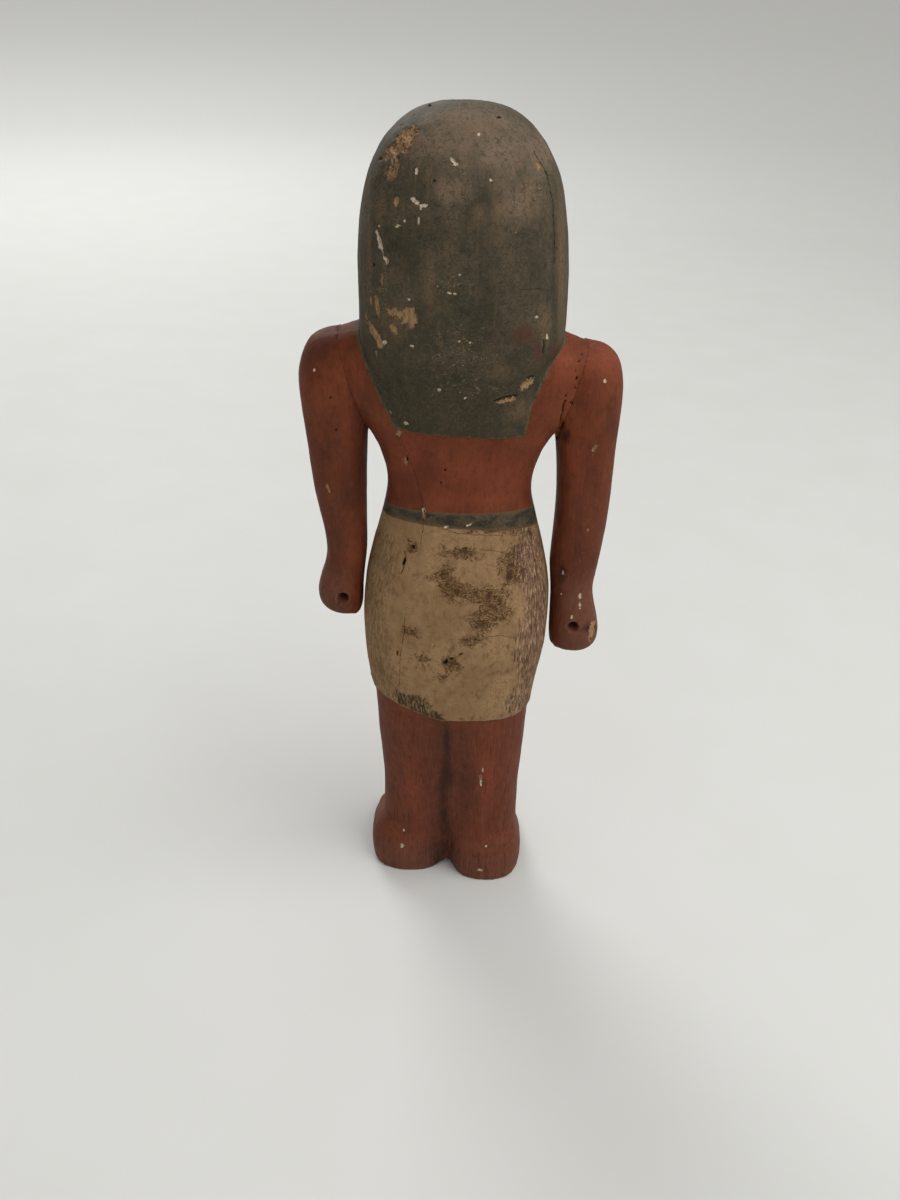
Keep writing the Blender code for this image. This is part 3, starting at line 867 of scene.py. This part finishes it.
# %% The worn surface tree
def worn_surface_tree():
    """A Geometry Nodes tree that moves a carved surface in and out as tools, grain and grit do."""
    tree = bpy.data.node_groups.new("worn surface", "GeometryNodeTree")
    tree.interface.new_socket("Geometry", in_out="INPUT", socket_type="NodeSocketGeometry")
    for name in ("Flats", "Grain", "Grit"):
        tree.interface.new_socket(name, in_out="INPUT", socket_type="NodeSocketFloat")
    tree.interface.new_socket("Paint", in_out="INPUT", socket_type="NodeSocketMaterial")
    tree.interface.new_socket("Geometry", in_out="OUTPUT", socket_type="NodeSocketGeometry")
    recipe = Recipe(tree)
    entry = tree.nodes.new("NodeGroupInput")
    given = {socket.name: Signal(recipe, socket) for socket in entry.outputs if socket.name}
    metres = recipe.node("GeometryNodeInputPosition")
    place = recipe.scaled(metres, (mm, mm, mm))
    relief = recipe.node("GeometryNodeInputNamedAttribute", {"data_type": "FLOAT"}, {"Name": "relief"})
    flats = recipe.noise(place, (7, 7, 13), 1, seed=1) - 0.5
    grain = recipe.noise(place, (1.3, 1.3, 26), 2, seed=2, warp=0.3) - 0.5
    grit = recipe.noise(place, (0.9, 0.9, 1.1), 1, seed=3) - 0.5
    amount = flats * given["Flats"] + grain * given["Grain"] + grit * given["Grit"]
    normal = recipe.node("GeometryNodeInputNormal")
    offset = recipe.node(
        "ShaderNodeVectorMath", {"operation": "SCALE"}, {0: normal, "Scale": amount * relief * mm}
    )
    moved = recipe.node("GeometryNodeSetPosition", None, {"Geometry": given["Geometry"], "Offset": offset})
    real = recipe.node("GeometryNodeRealizeInstances", None, {"Geometry": moved})
    painted = recipe.node("GeometryNodeSetMaterial", None, {"Geometry": real, "Material": given["Paint"]})
    leave = tree.nodes.new("NodeGroupOutput")
    tree.links.new(painted.socket, leave.inputs[0])
    return tree


surface_tree = worn_surface_tree()
print("the surface tree has", len(surface_tree.nodes), "nodes")

# %% [markdown]
# ## Paint as a recipe
# Old tempera paint is matt, thin and uneven, so each paint is one tone under many thin coats, each with
# its strength, its tone in screen values and the noise or mark that it follows. All noises read the
# object's own coordinates in millimetres, so the paint stays on the piece from every side. A little
# noise is added to each zone's distance before it is cut off, which breaks the edge up as a brush does.

# %% Helpers for paint
def tone(red, green, blue):
    """A colour written as 0 to 255 for a screen, as the share of light that it reflects."""
    channels = [value / 255 for value in (red, green, blue)]
    return tuple(((c + 0.055) / 1.055) ** 2.4 if c > 0.04 else c / 12.92 for c in channels) + (1,)


class PaintRecipe(Recipe):
    """A material's tree, with what the paints need at hand: the place in millimetres and the marks."""

    def __init__(self, name):
        self.material = bpy.data.materials.new(name)
        self.material.use_nodes = True
        super().__init__(self.material.node_tree)
        self.tree.nodes.clear()
        metres = self.node("ShaderNodeTexCoord", output="Object")
        self.place = self.scaled(metres, (mm, mm, mm))
        parts = self.tree.nodes.new("ShaderNodeSeparateXYZ")
        self.tree.links.new(self.place.socket, parts.inputs[0])
        self.x, self.y, self.z = (Signal(self, socket) for socket in parts.outputs)

    def mark(self, name):
        """A mark or a distance stored on the mesh."""
        return self.node("ShaderNodeAttribute", {"attribute_name": name}, output="Fac")

    def grain(self, across, up, seed, detail=2, roughness=0.5, warp=0):
        """Noise in bumps of that width and height, in millimetres."""
        return self.noise(self.place, (across, across, up), detail, roughness, seed, warp)

    def mix(self, mask, under, over):
        """One colour over another, where the mask is 1."""
        return self.node("ShaderNodeMix", {"data_type": "RGBA"}, {0: mask, 6: under, 7: over}, output=2)

    def coats(self, colour, *coats):
        """Thin coats over a colour. Each has its strength, its tone, and a mask or what rises into one."""
        for strength, over, mask, *limits in coats:
            mask = self.rise(mask, *limits) if limits else mask
            colour = self.mix(mask * strength, colour, tone(*over))
        return colour

    def edge(self, name, raggedness=0.5, size=1.2, softness=0.08, seed=0):
        """1 inside a stored mark or zone, with a ragged edge."""
        uneven = (self.grain(size, size, 40 + seed, 3, 0.65) - 0.5) * raggedness
        return self.rise(self.mark(name) + uneven, -softness, softness)

    def vein(self, across, up, seed, half_width, detail=3, warp=1):
        """1 along thin wandering lines, and 0 between them."""
        away = abs(self.grain(across, up, seed, detail, 0.6, warp) - 0.5)
        return self.rise(away, half_width, half_width * 0.3)

    def flecks(self, size, radius, share, seed):
        """1 in small specks, in that share of the cells of that size."""
        sockets = {"Vector": self.scaled(self.place, (size, size, size)), "W": seed, "Scale": 1}
        distance = self.node("ShaderNodeTexVoronoi", {"voronoi_dimensions": "4D"}, sockets, "Distance")
        cell = Signal(self, distance.socket.node.outputs["Color"])
        lot = self.node("ShaderNodeSeparateColor", None, {0: cell})
        return self.rise(distance, radius, radius * 0.6) * self.rise(lot, 1 - share, 1.005 - share)


# %% [markdown]
# ## Skin
# The skin is red ochre. It is darker and browner towards the hands, where hands have dulled it, and painted
# shade darkens it between the legs and under and inside the arms. It is more orange in patches, one of them
# a painted highlight on the right shoulder, and in upright streaks it shows the grain of the wood
# underneath.

# %% Skin paint
def skin_paint(paint):
    """Worn red ochre."""
    blotch = paint.grain(13, 19, 11, 3)
    streak = paint.grain(0.7, 22, 12, 3, 0.6, 0.4)
    mottle = paint.grain(2.2, 3, 13, 4, 0.7)
    speckle = paint.grain(0.55, 0.7, 14, 2, 0.6)
    below_kilt = paint.rise(paint.z, 96, 80)
    outside = paint.rise(abs(paint.x), 36, 44)
    toward_hand = paint.rise(paint.z, 222, 150) * outside
    fist = paint.rise(paint.z, 150, 134) * outside
    along_grain = 0.3 + below_kilt * 0.5
    # Mask of painted shade, from the dark mark between the legs and under and inside the arms, broken by
    # noise.
    shade_mask = paint.mark("dark") + (mottle - 0.5) * 0.5 + (streak - 0.5) * 0.5
    return paint.coats(
        paint.mix(paint.rise(blotch, 0.36, 0.64), tone(103, 50, 29), tone(120, 61, 36)),
        (0.6, (99, 54, 38), below_kilt),
        (0.6, (84, 48, 34), toward_hand),
        (0.4, (118, 82, 66), fist),
        # Warmer where the paint is rubbed, and a painted highlight on the right shoulder.
        (0.6, (138, 67, 46), paint.mark("warm")),
        (0.4, (116, 80, 66), paint.z, 26, 2),
        (0.55, (78, 42, 29), mottle, 0.5, 0.68),
        (0.4, (136, 76, 60), mottle, 0.46, 0.3),
        (along_grain, (78, 44, 30), streak, 0.52, 0.68),
        (along_grain * 0.5, (134, 78, 55), streak, 0.46, 0.3),
        (0.35, (68, 38, 27), speckle, 0.6, 0.74),
        # The last two coats are painted shade: faint and broad from the dim mark, deep from the dark mark.
        (0.25 + mottle * 0.5, (58, 34, 24), paint.mark("dim")),
        (0.85, (44, 28, 20), shade_mask, 0.05, 1),
    )


# %% [markdown]
# ## Wig
# The wig was painted a dark green-black. It has gone olive and grey, with brown upright patches where the
# paint is thin, pale dust and a painted highlight on the crown, and painted shade along its sides. A reddish
# rub near one edge is skin paint that strayed.

# %% Wig paint
def wig_paint(paint):
    """Faded green-black with brown patches."""
    broad = paint.grain(9, 15, 21, 3)
    upright = paint.grain(2.6, 26, 22, 3, 0.6, 0.6)
    patch = paint.grain(4, 5.5, 25, 4, 0.62)
    mottle = paint.grain(1.3, 1.7, 23, 4, 0.7)
    speckle = paint.grain(0.5, 0.55, 24, 2, 0.6)
    fine = paint.grain(0.7, 0.9, 26, 3, 0.75)
    # Pale dust and a painted highlight on the crown, broken into patches.
    dust_and_highlight = paint.mark("dust_and_sheen") + (patch - 0.5) * 0.9
    scaly = paint.rise(paint.mark("crazed") + (patch - 0.5) * 1.2, 0.1, 0.7)
    dark_craze = paint.vein(2.4, 1.8, 28, 0.03, 3, 0.8) * paint.rise(broad, 0.42, 0.56)
    craze = paint.vein(3.2, 2.2, 27, 0.022, 3, 0.8) * paint.rise(mottle, 0.44, 0.56)
    rim = paint.rise(paint.mark("wig"), 1.1, 0.5) * paint.rise(mottle, 0.62, 0.42)
    return paint.coats(
        paint.mix(paint.rise(broad, 0.38, 0.62), tone(66, 60, 46), tone(84, 76, 59)),
        (0.5, (96, 78, 58), patch, 0.5, 0.66),
        (0.5, (54, 52, 42), patch, 0.47, 0.34),
        (0.5, (98, 84, 58), upright, 0.53, 0.7),
        (0.6, (54, 48, 30), paint.z, 240, 214),
        (0.65, (116, 92, 68), paint.mark("wig_brown")),
        # Dark patches, and painted shade in thin strips along the wig's sides.
        (0.6, (50, 48, 38), paint.mark("wig_dark")),
        # Pale crown: dust and a painted highlight.
        (0.65, (128, 106, 88), dust_and_highlight, 0, 1),
        (0.55, (46, 42, 33), mottle, 0.5, 0.66),
        (0.4, (110, 98, 80), mottle, 0.45, 0.3),
        (0.4, (42, 39, 31), fine, 0.53, 0.7),
        (0.35, (112, 101, 83), fine, 0.45, 0.3),
        (0.5, (34, 31, 25), dark_craze),
        (0.15 + scaly * 0.55, (134, 122, 96), craze),
        (0.45, (38, 35, 28), speckle, 0.6, 0.74),
        (0.6, (160, 148, 126), paint.flecks(1.7, 0.13, 0.1, 9)),
        (0.7, (172, 160, 136), paint.flecks(1.2, 0.2, 0.22, 10) * scaly),
        (0.7, (88, 50, 38), paint.mark("red_rub") + (mottle - 0.5) * 1.4, 0.1, 0.8),
        (0.5, (104, 94, 68), rim),
    )


# %% [markdown]
# ## Kilt and belt
# The kilt is a cream ground with no paint over it, so it is thick, chalky and stained brown. At its
# sides the ground has rubbed thin, and the ridges of the wood show as upright streaks. The belt is the
# wig's dark paint in a band.

# %% Kilt and belt paint
def kilt_paint(paint):
    """Cream ground, stained, and rubbed thin at the sides."""
    broad = paint.grain(11, 13, 31, 3)
    mottle = paint.grain(2.6, 3, 32, 4, 0.65)
    crumb = paint.grain(0.8, 0.9, 35, 3, 0.7)
    ridges = paint.grain(0.8, 3.6, 34, 3, 0.65, 0.7)
    stain = paint.mark("stain")
    worn = paint.mark("rubbed") + (mottle - 0.5) * 0.7
    dashed = paint.rise(worn, -0.1, 0.35)
    dirt = paint.rise(paint.mark("hem_dirt"), 0.02, 0.4)
    left = paint.rise(paint.x, -6, 6)
    thin_lines = paint.vein(4, 3, 36, 0.02) * paint.rise(broad, 0.46, 0.6)
    crust = paint.vein(2.6, 1.7, 37, 0.05, 2.5, 1) * paint.rise(stain + (mottle - 0.5), 0.02, 0.35)
    fine_crust = paint.vein(1.3, 0.9, 38, 0.05, 2, 0.8) * paint.rise(stain, 0.25, 0.7)
    colour = paint.coats(
        paint.mix(paint.rise(broad, 0.38, 0.62), tone(138, 109, 77), tone(155, 124, 90)),
        (0.5, (118, 89, 59), mottle, 0.49, 0.66),
        (0.35, (170, 140, 104), mottle, 0.46, 0.3),
        (0.4, (104, 77, 50), crumb, 0.54, 0.72),
        (0.5, (92, 66, 42), thin_lines),
        (0.6, (114, 80, 46), stain + (mottle - 0.5) * 1.2, 0.1, 0.9),
        (0.85, (58, 38, 21), crust),
        (0.7, (66, 44, 25), fine_crust),
        (0.75, (58, 41, 26), stain + (mottle - 0.5) * 1.6, 0.7, 1.15),
    )
    rubbed_tone = paint.mix(left, tone(106, 80, 68), tone(118, 94, 64))
    dash_tone = paint.mix(left, tone(76, 52, 42), tone(80, 62, 38))
    colour = paint.mix(paint.rise(worn, 0, 0.7) * (0.6 - left * 0.25), colour, rubbed_tone)
    colour = paint.mix(dashed * paint.rise(ridges, 0.51, 0.58) * (0.8 - left * 0.35), colour, dash_tone)
    hem_line = paint.rise(paint.mark("kilt"), 0.9, 0.4) * paint.rise(paint.z, 104, 96)
    return paint.coats(
        colour,
        (0.65 - left * 0.4, (178, 152, 122), dashed * paint.rise(ridges, 0.45, 0.38)),
        (0.45, (82, 68, 46), dirt),
        (0.85, (48, 38, 26), dirt * paint.rise(ridges, 0.42, 0.52)),
        (0.45, (158, 136, 104), hem_line * paint.rise(crumb, 0.6, 0.45)),
    )


def belt_paint(paint):
    """The wig's dark paint, thinner, in a band."""
    broad = paint.grain(6, 2.5, 41, 3)
    mottle = paint.grain(1.2, 0.9, 42, 3, 0.65)
    return paint.coats(
        paint.mix(paint.rise(broad, 0.4, 0.6), tone(56, 51, 42), tone(80, 70, 54)),
        (0.5, (38, 35, 28), mottle, 0.52, 0.68),
        (0.6, (122, 106, 82), mottle, 0.44, 0.3),
        (0.6, (104, 80, 58), paint.mark("belt") + (mottle - 0.5) * 1.5, 1.4, 0.4),
    )


# %% [markdown]
# ## Bare wood and white ground
# Where everything is gone, pale tan wood shows, crumbly and fibrous. Where only the paint has flaked,
# the white ground shows. Cracks and pits are dark brown.

# %% Bare wood and ground
def bare_wood(paint):
    """Pale wood, smooth where it flaked and crumbly with dark pores where insects ate it."""
    fibre = paint.grain(0.6, 3, 51, 3, 0.7)
    pores = paint.grain(1, 1.2, 52, 3, 0.7)
    colour = paint.mix(paint.rise(fibre, 0.4, 0.62), tone(166, 134, 98), tone(130, 102, 72))
    crumbly = paint.rise(paint.mark("crumbly"), -0.1, 0.1)
    return paint.mix(paint.rise(pores, 0.49, 0.6) * (0.15 + crumbly * 0.65), colour, tone(78, 52, 34))


def white_ground(paint):
    """Chalky ground, dirty in its hollows."""
    dirt = paint.grain(0.9, 1.2, 53, 3, 0.7)
    return paint.mix(paint.rise(dirt, 0.42, 0.62) * 0.8, tone(206, 190, 166), tone(132, 110, 84))


crack_brown = tone(40, 27, 18)


# %% [markdown]
# ## The painted face
# The eyes are almonds of white with a dark rim and pupil, the brows are dark bands, and the rim runs out
# towards the ears in a short line. They are drawn from the same places as the carved lids, with sums
# on the coordinates, so that their edges are crisp.

# %% Eyes and brows
eye_white = tone(206, 190, 160)
eye_dark = tone(46, 42, 36)
lip_red = tone(88, 38, 26)
pupil_radius = 1.35
brow_level, brow_half_height = 270.7, 0.6


def face_paint(paint, colour):
    """The eyes and brows over the skin."""
    front = paint.rise(0 - paint.y, 8, 10)
    across = abs(paint.x - float(body_middle[0]))
    wobble = (paint.grain(1.5, 1.5, 61) - 0.5) * 0.35
    u = (across - eye_across) / eye_half_width
    v = (paint.z - eye_level - 0.25 * u) / eye_half_height
    almond = 1 - u * u - abs(v) + wobble * 0.4
    rim_line = paint.lower_of(1.9 - u, 0.28 - abs(v + 0.15)) * paint.rise(u, 0.55, 0.75)
    from_pupil = u * u * eye_half_width**2 + v * v * eye_half_height**2
    pupil = pupil_radius - from_pupil.maths("SQRT", from_pupil, 0)
    bend = abs(paint.z - brow_level + 0.03 * (across - eye_across) * (across - eye_across))
    brow = paint.lower_of(brow_half_height - bend, 6 - abs(across - eye_across)) + wobble
    colour = paint.mix(paint.rise(almond, -0.34, -0.24) * front, colour, eye_dark)
    colour = paint.mix(paint.rise(almond, 0.06, 0.12) * front, colour, eye_white)
    inside = paint.rise(almond, 0.02, 0.08)
    colour = paint.mix(paint.rise(pupil, -0.08, 0.08) * inside * front, colour, eye_dark)
    colour = paint.mix(paint.rise(rim_line, 0, 0.1) * front, colour, eye_dark)
    from_mouth = abs(paint.z - mouth_level - 0.035 * across * across)
    lips = paint.lower_of(1.3 - from_mouth, mouth_half_width - across) + wobble
    colour = paint.mix(paint.rise(lips, -0.1, 0.3) * front * 0.5, colour, lip_red)
    mouth = paint.lower_of(0.22 - from_mouth, mouth_half_width + 0.4 - across)
    colour = paint.mix(paint.rise(mouth, -0.12, 0.06) * front * 0.8, colour, eye_dark)
    return paint.mix(paint.rise(brow, -0.08, 0.12) * front * 0.92, colour, eye_dark)


# %% [markdown]
# ## All layers together
# The order is the order of making and of wear: skin first, then kilt, belt and wig over it, then dirt and
# painted shade in the hollows, rubbed high places, and last the chips, pits and cracks, which cut through
# everything. The same masks set the roughness, and their steps give the paint its thickness in the bump.

# %% Layered material
def painted_wood(name, clothed=False):
    """The whole worn finish; a clothed piece has wig, kilt, belt and face."""
    paint = PaintRecipe(name)
    colour = skin_paint(paint)
    roughness = 0.66 + (paint.grain(3, 5, 71) - 0.5) * 0.25
    height = paint.grain(0.8, 12, 72, 3, 0.6) * 0.14 + paint.grain(0.5, 0.6, 73, 3, 0.6) * 0.12
    if clothed:
        colour = face_paint(paint, colour)
        kilt = paint.edge("kilt", 0.5, 1.3, seed=1)
        belt = paint.edge("belt", 0.6, 1.6, seed=2)
        wig = paint.edge("wig", 0.45, 1.3, seed=3)
        for mask, over in ((kilt, kilt_paint), (belt, belt_paint), (wig, wig_paint)):
            colour = paint.mix(mask, colour, over(paint))
        roughness = roughness + kilt * 0.25
        height = height + kilt * 0.15 + belt * 0.05 + wig * 0.06
    cavity = paint.mark("cavity")
    patchy = paint.rise(paint.grain(1.6, 2.4, 74, 3, 0.65), 0.5, 0.64)
    colour = paint.coats(
        colour,
        # Darker in the hollows, which is dirt and painted shade; paler where edges stand out and the paint
        # is rubbed.
        (0.45, (46, 34, 25), cavity, 0.03, 0.16),
        (0.3, (150, 112, 80), paint.rise(0 - cavity, 0.05, 0.13) * patchy),
        (0.75, (190, 170, 142), paint.flecks(4.5, 0.055, 0.3, 7)),
        (0.6, (40, 29, 21), paint.flecks(6, 0.06, 0.35, 8)),
    )
    white = paint.edge("white", 1.1, 0.7, 0.12, seed=4)
    crumbly = paint.edge("crumbly", 0.8, 1.2, seed=5.5)
    bare = paint.higher_of(paint.edge("bare", 0.6, 0.8, seed=5), crumbly)
    pit = paint.edge("pit", 0.5, 0.7, 0.3, seed=6)
    colour = paint.mix(white, colour, white_ground(paint))
    colour = paint.mix(bare, colour, bare_wood(paint))
    colour = paint.mix(pit, colour, crack_brown)
    broken = paint.rise(paint.grain(1.2, 1.6, 75, 2, 0.6), 0.3, 0.55)
    open_width = paint.mark("crack_width") * (0.35 + broken * 0.65)
    line = paint.rise(abs(paint.mark("crack_side")), open_width * 0.55 + 0.06, open_width * 0.25)
    crack = line * paint.rise(open_width, 0.03, 0.1) * (0.5 + broken * 0.5)
    colour = paint.mix(crack, colour, crack_brown)
    roughness = roughness + bare * 0.2 + white * 0.15
    height = height - white * 0.12 - bare * 0.2 - crack * 0.3
    normal = paint.node("ShaderNodeBump", None, {"Strength": 0.8, "Distance": mm, "Height": height})
    sockets = {"Base Color": colour, "Roughness": roughness, "Normal": normal, "Specular IOR Level": 0.15}
    shader = paint.node("ShaderNodeBsdfPrincipled", None, sockets)
    paint.node("ShaderNodeOutputMaterial", None, {"Surface": shader})
    print(name, "has", len(paint.tree.nodes), "nodes")
    return paint.material


paints = {
    "figure_body": painted_wood("figure paint", True),
    "left_arm": painted_wood("left arm paint"),
    "right_arm": painted_wood("right arm paint"),
}

# %% [markdown]
# ## Finish the pieces
# The surface tree moves the points, and the hollows and edges are then measured: a point that lies
# deeper than its relaxed neighbourhood is in a hollow, where dirt and painted shade go, and one that stands
# out is on an edge, where paint rubs off. The marks go into the mesh as attributes. The body has far more
# faces than a shared part should, so it is thinned to just under two hundred thousand.

# %% Surface, marks and thinning
surface_inputs = {"Flats": 0.55, "Grain": 0.28, "Grit": 0.1}
most_triangles = 196000
hollow_rounds = 6
crisp_angle = math.radians(62)


def with_worn_surface(mesh, paint):
    """The mesh after the surface tree."""
    values = surface_inputs | {"Paint": paint}
    sockets = surface_tree.interface.items_tree
    inputs = {socket.identifier: values[socket.name] for socket in sockets if socket.name in values}
    return with_modifier(mesh, "NODES", {"node_group": surface_tree}, inputs)


def store_mark(mesh, name, values):
    """One number for each point, kept on the mesh."""
    mesh.attributes.new(name, "FLOAT", "POINT").data.foreach_set("value", values.astype(np.float32))


def finished_piece(carving, name):
    """The carving as an object of its own, painted, in its place."""
    from_joint = joint_distance(carving.points)
    relief = ease(from_joint, 0.3, 2.5) * (1 - 0.75 * on_face(carving.points))
    carving.write_points()
    store_mark(carving.mesh, "relief", relief)
    carving.mesh = with_worn_surface(carving.mesh, paints[carving.name])
    carving.points = carving.read("vertices", "co", 3) / mm
    carving.points = np.clip(carving.points, *(np.array(corner) / mm for corner in cad_box))
    offset = carving.relaxed(hollow_rounds) - carving.points
    carving.marks["cavity"] = np.einsum("ij,ij->i", offset, carving.normals()) * ease(from_joint, 1, 3)
    for mark, values in carving.marks.items():
        store_mark(carving.mesh, mark, values)
    mesh = carving.mesh
    mesh.calc_loop_triangles()
    count = len(mesh.loop_triangles)
    if count > most_triangles:
        mesh = with_modifier(mesh, "DECIMATE", {"ratio": most_triangles / count})
    mesh.shade_smooth()
    mesh.set_sharp_from_angle(angle=crisp_angle)
    mesh.calc_loop_triangles()
    print(name, "has", len(mesh.loop_triangles), "triangles")
    return placed(name, mesh)


for node, name, slot in (
    ("figure_body", "painted_body", "body_paint"),
    ("left_arm", "painted_left_arm", "left_arm_paint"),
    ("right_arm", "painted_right_arm", "right_arm_paint"),
):
    piece = finished_piece(carvings[node], name)
    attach(piece, "root")
    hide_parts(node)

# %% [markdown]
# ## Floor
# The floor is plain and pale. It is a wide dish, flat in the middle and curved up far away, as the paper
# sweep of a studio is, so no horizon shows.

# %% Floor
flat_radius, sweep_radius = 1.6, 7
sweep_steps, round_steps = 12, 96
sweep_angles = [math.pi / 2 * step / sweep_steps for step in range(sweep_steps + 1)]
profile = [
    (flat_radius + sweep_radius * math.sin(angle), sweep_radius * (1 - math.cos(angle)))
    for angle in sweep_angles
]
floor_grid = bmesh.new()
rows = [
    [
        floor_grid.verts.new((radius * math.cos(turn), radius * math.sin(turn), height))
        for turn in (2 * math.pi * step / round_steps for step in range(round_steps))
    ]
    for radius, height in profile
]
floor_grid.faces.new(rows[0])
for inner, outer in zip(rows, rows[1:]):
    for step in range(round_steps):
        beyond = (step + 1) % round_steps
        floor_grid.faces.new((inner[step], outer[step], outer[beyond], inner[beyond])).smooth = True
floor_mesh = bpy.data.meshes.new("floor")
floor_grid.to_mesh(floor_mesh)
floor_grid.free()
floor = placed("floor", floor_mesh)
floor_recipe = PaintRecipe("floor")
floor_tint = floor_recipe.grain(60, 60, 81, 2)
floor_colour = floor_recipe.mix(floor_tint, tone(209, 209, 206), tone(215, 215, 213))
far_off = floor_recipe.node(
    "ShaderNodeVectorMath", {"operation": "LENGTH"}, {0: floor_recipe.place}, "Value"
)
floor_colour = floor_recipe.mix(floor_recipe.rise(far_off, 900, 3500), floor_colour, tone(226, 226, 224))
floor_shader = floor_recipe.node(
    "ShaderNodeBsdfPrincipled", None,
    {"Base Color": floor_colour, "Roughness": 0.55, "Specular IOR Level": 0.3},
)
floor_recipe.node("ShaderNodeOutputMaterial", None, {"Surface": floor_shader})
floor_mesh.materials.append(floor_recipe.material)
print("floor is flat for", 2 * flat_radius, "m")

# %% [markdown]
# ## Light
# Soft light from many sides keeps the shadows open, so the wear stays readable. One large ball of light
# hangs above and to the camera's right, a weaker one shines from the camera's side, one is for the
# front, and a pale surround fills the rest.

# %% Light
def lantern(name, place, radius, power):
    """A large soft ball of light. It shines all around, so it draws no edge on the floor."""
    lamp = placed(name, bpy.data.lights.new(name, "POINT"))
    lamp.data.shadow_soft_size = radius
    lamp.data.energy = power
    lamp.location = place
    lamp.visible_camera = False


lantern("overhead", (-0.62, 0.25, 1.12), 0.45, 32)
lantern("camera side", (-0.75, 1.5, 0.95), 0.5, 17)
lantern("front", (0.7, -1.5, 1.35), 0.5, 66)

world = bpy.data.worlds.new("pale surround")
bpy.context.scene.world = world
world.use_nodes = True
surround = world.node_tree.nodes["Background"]
surround.inputs["Color"].default_value = (1, 0.99, 0.95, 1)
surround.inputs["Strength"].default_value = 0.5
bpy.context.scene.view_settings.view_transform = "Standard"
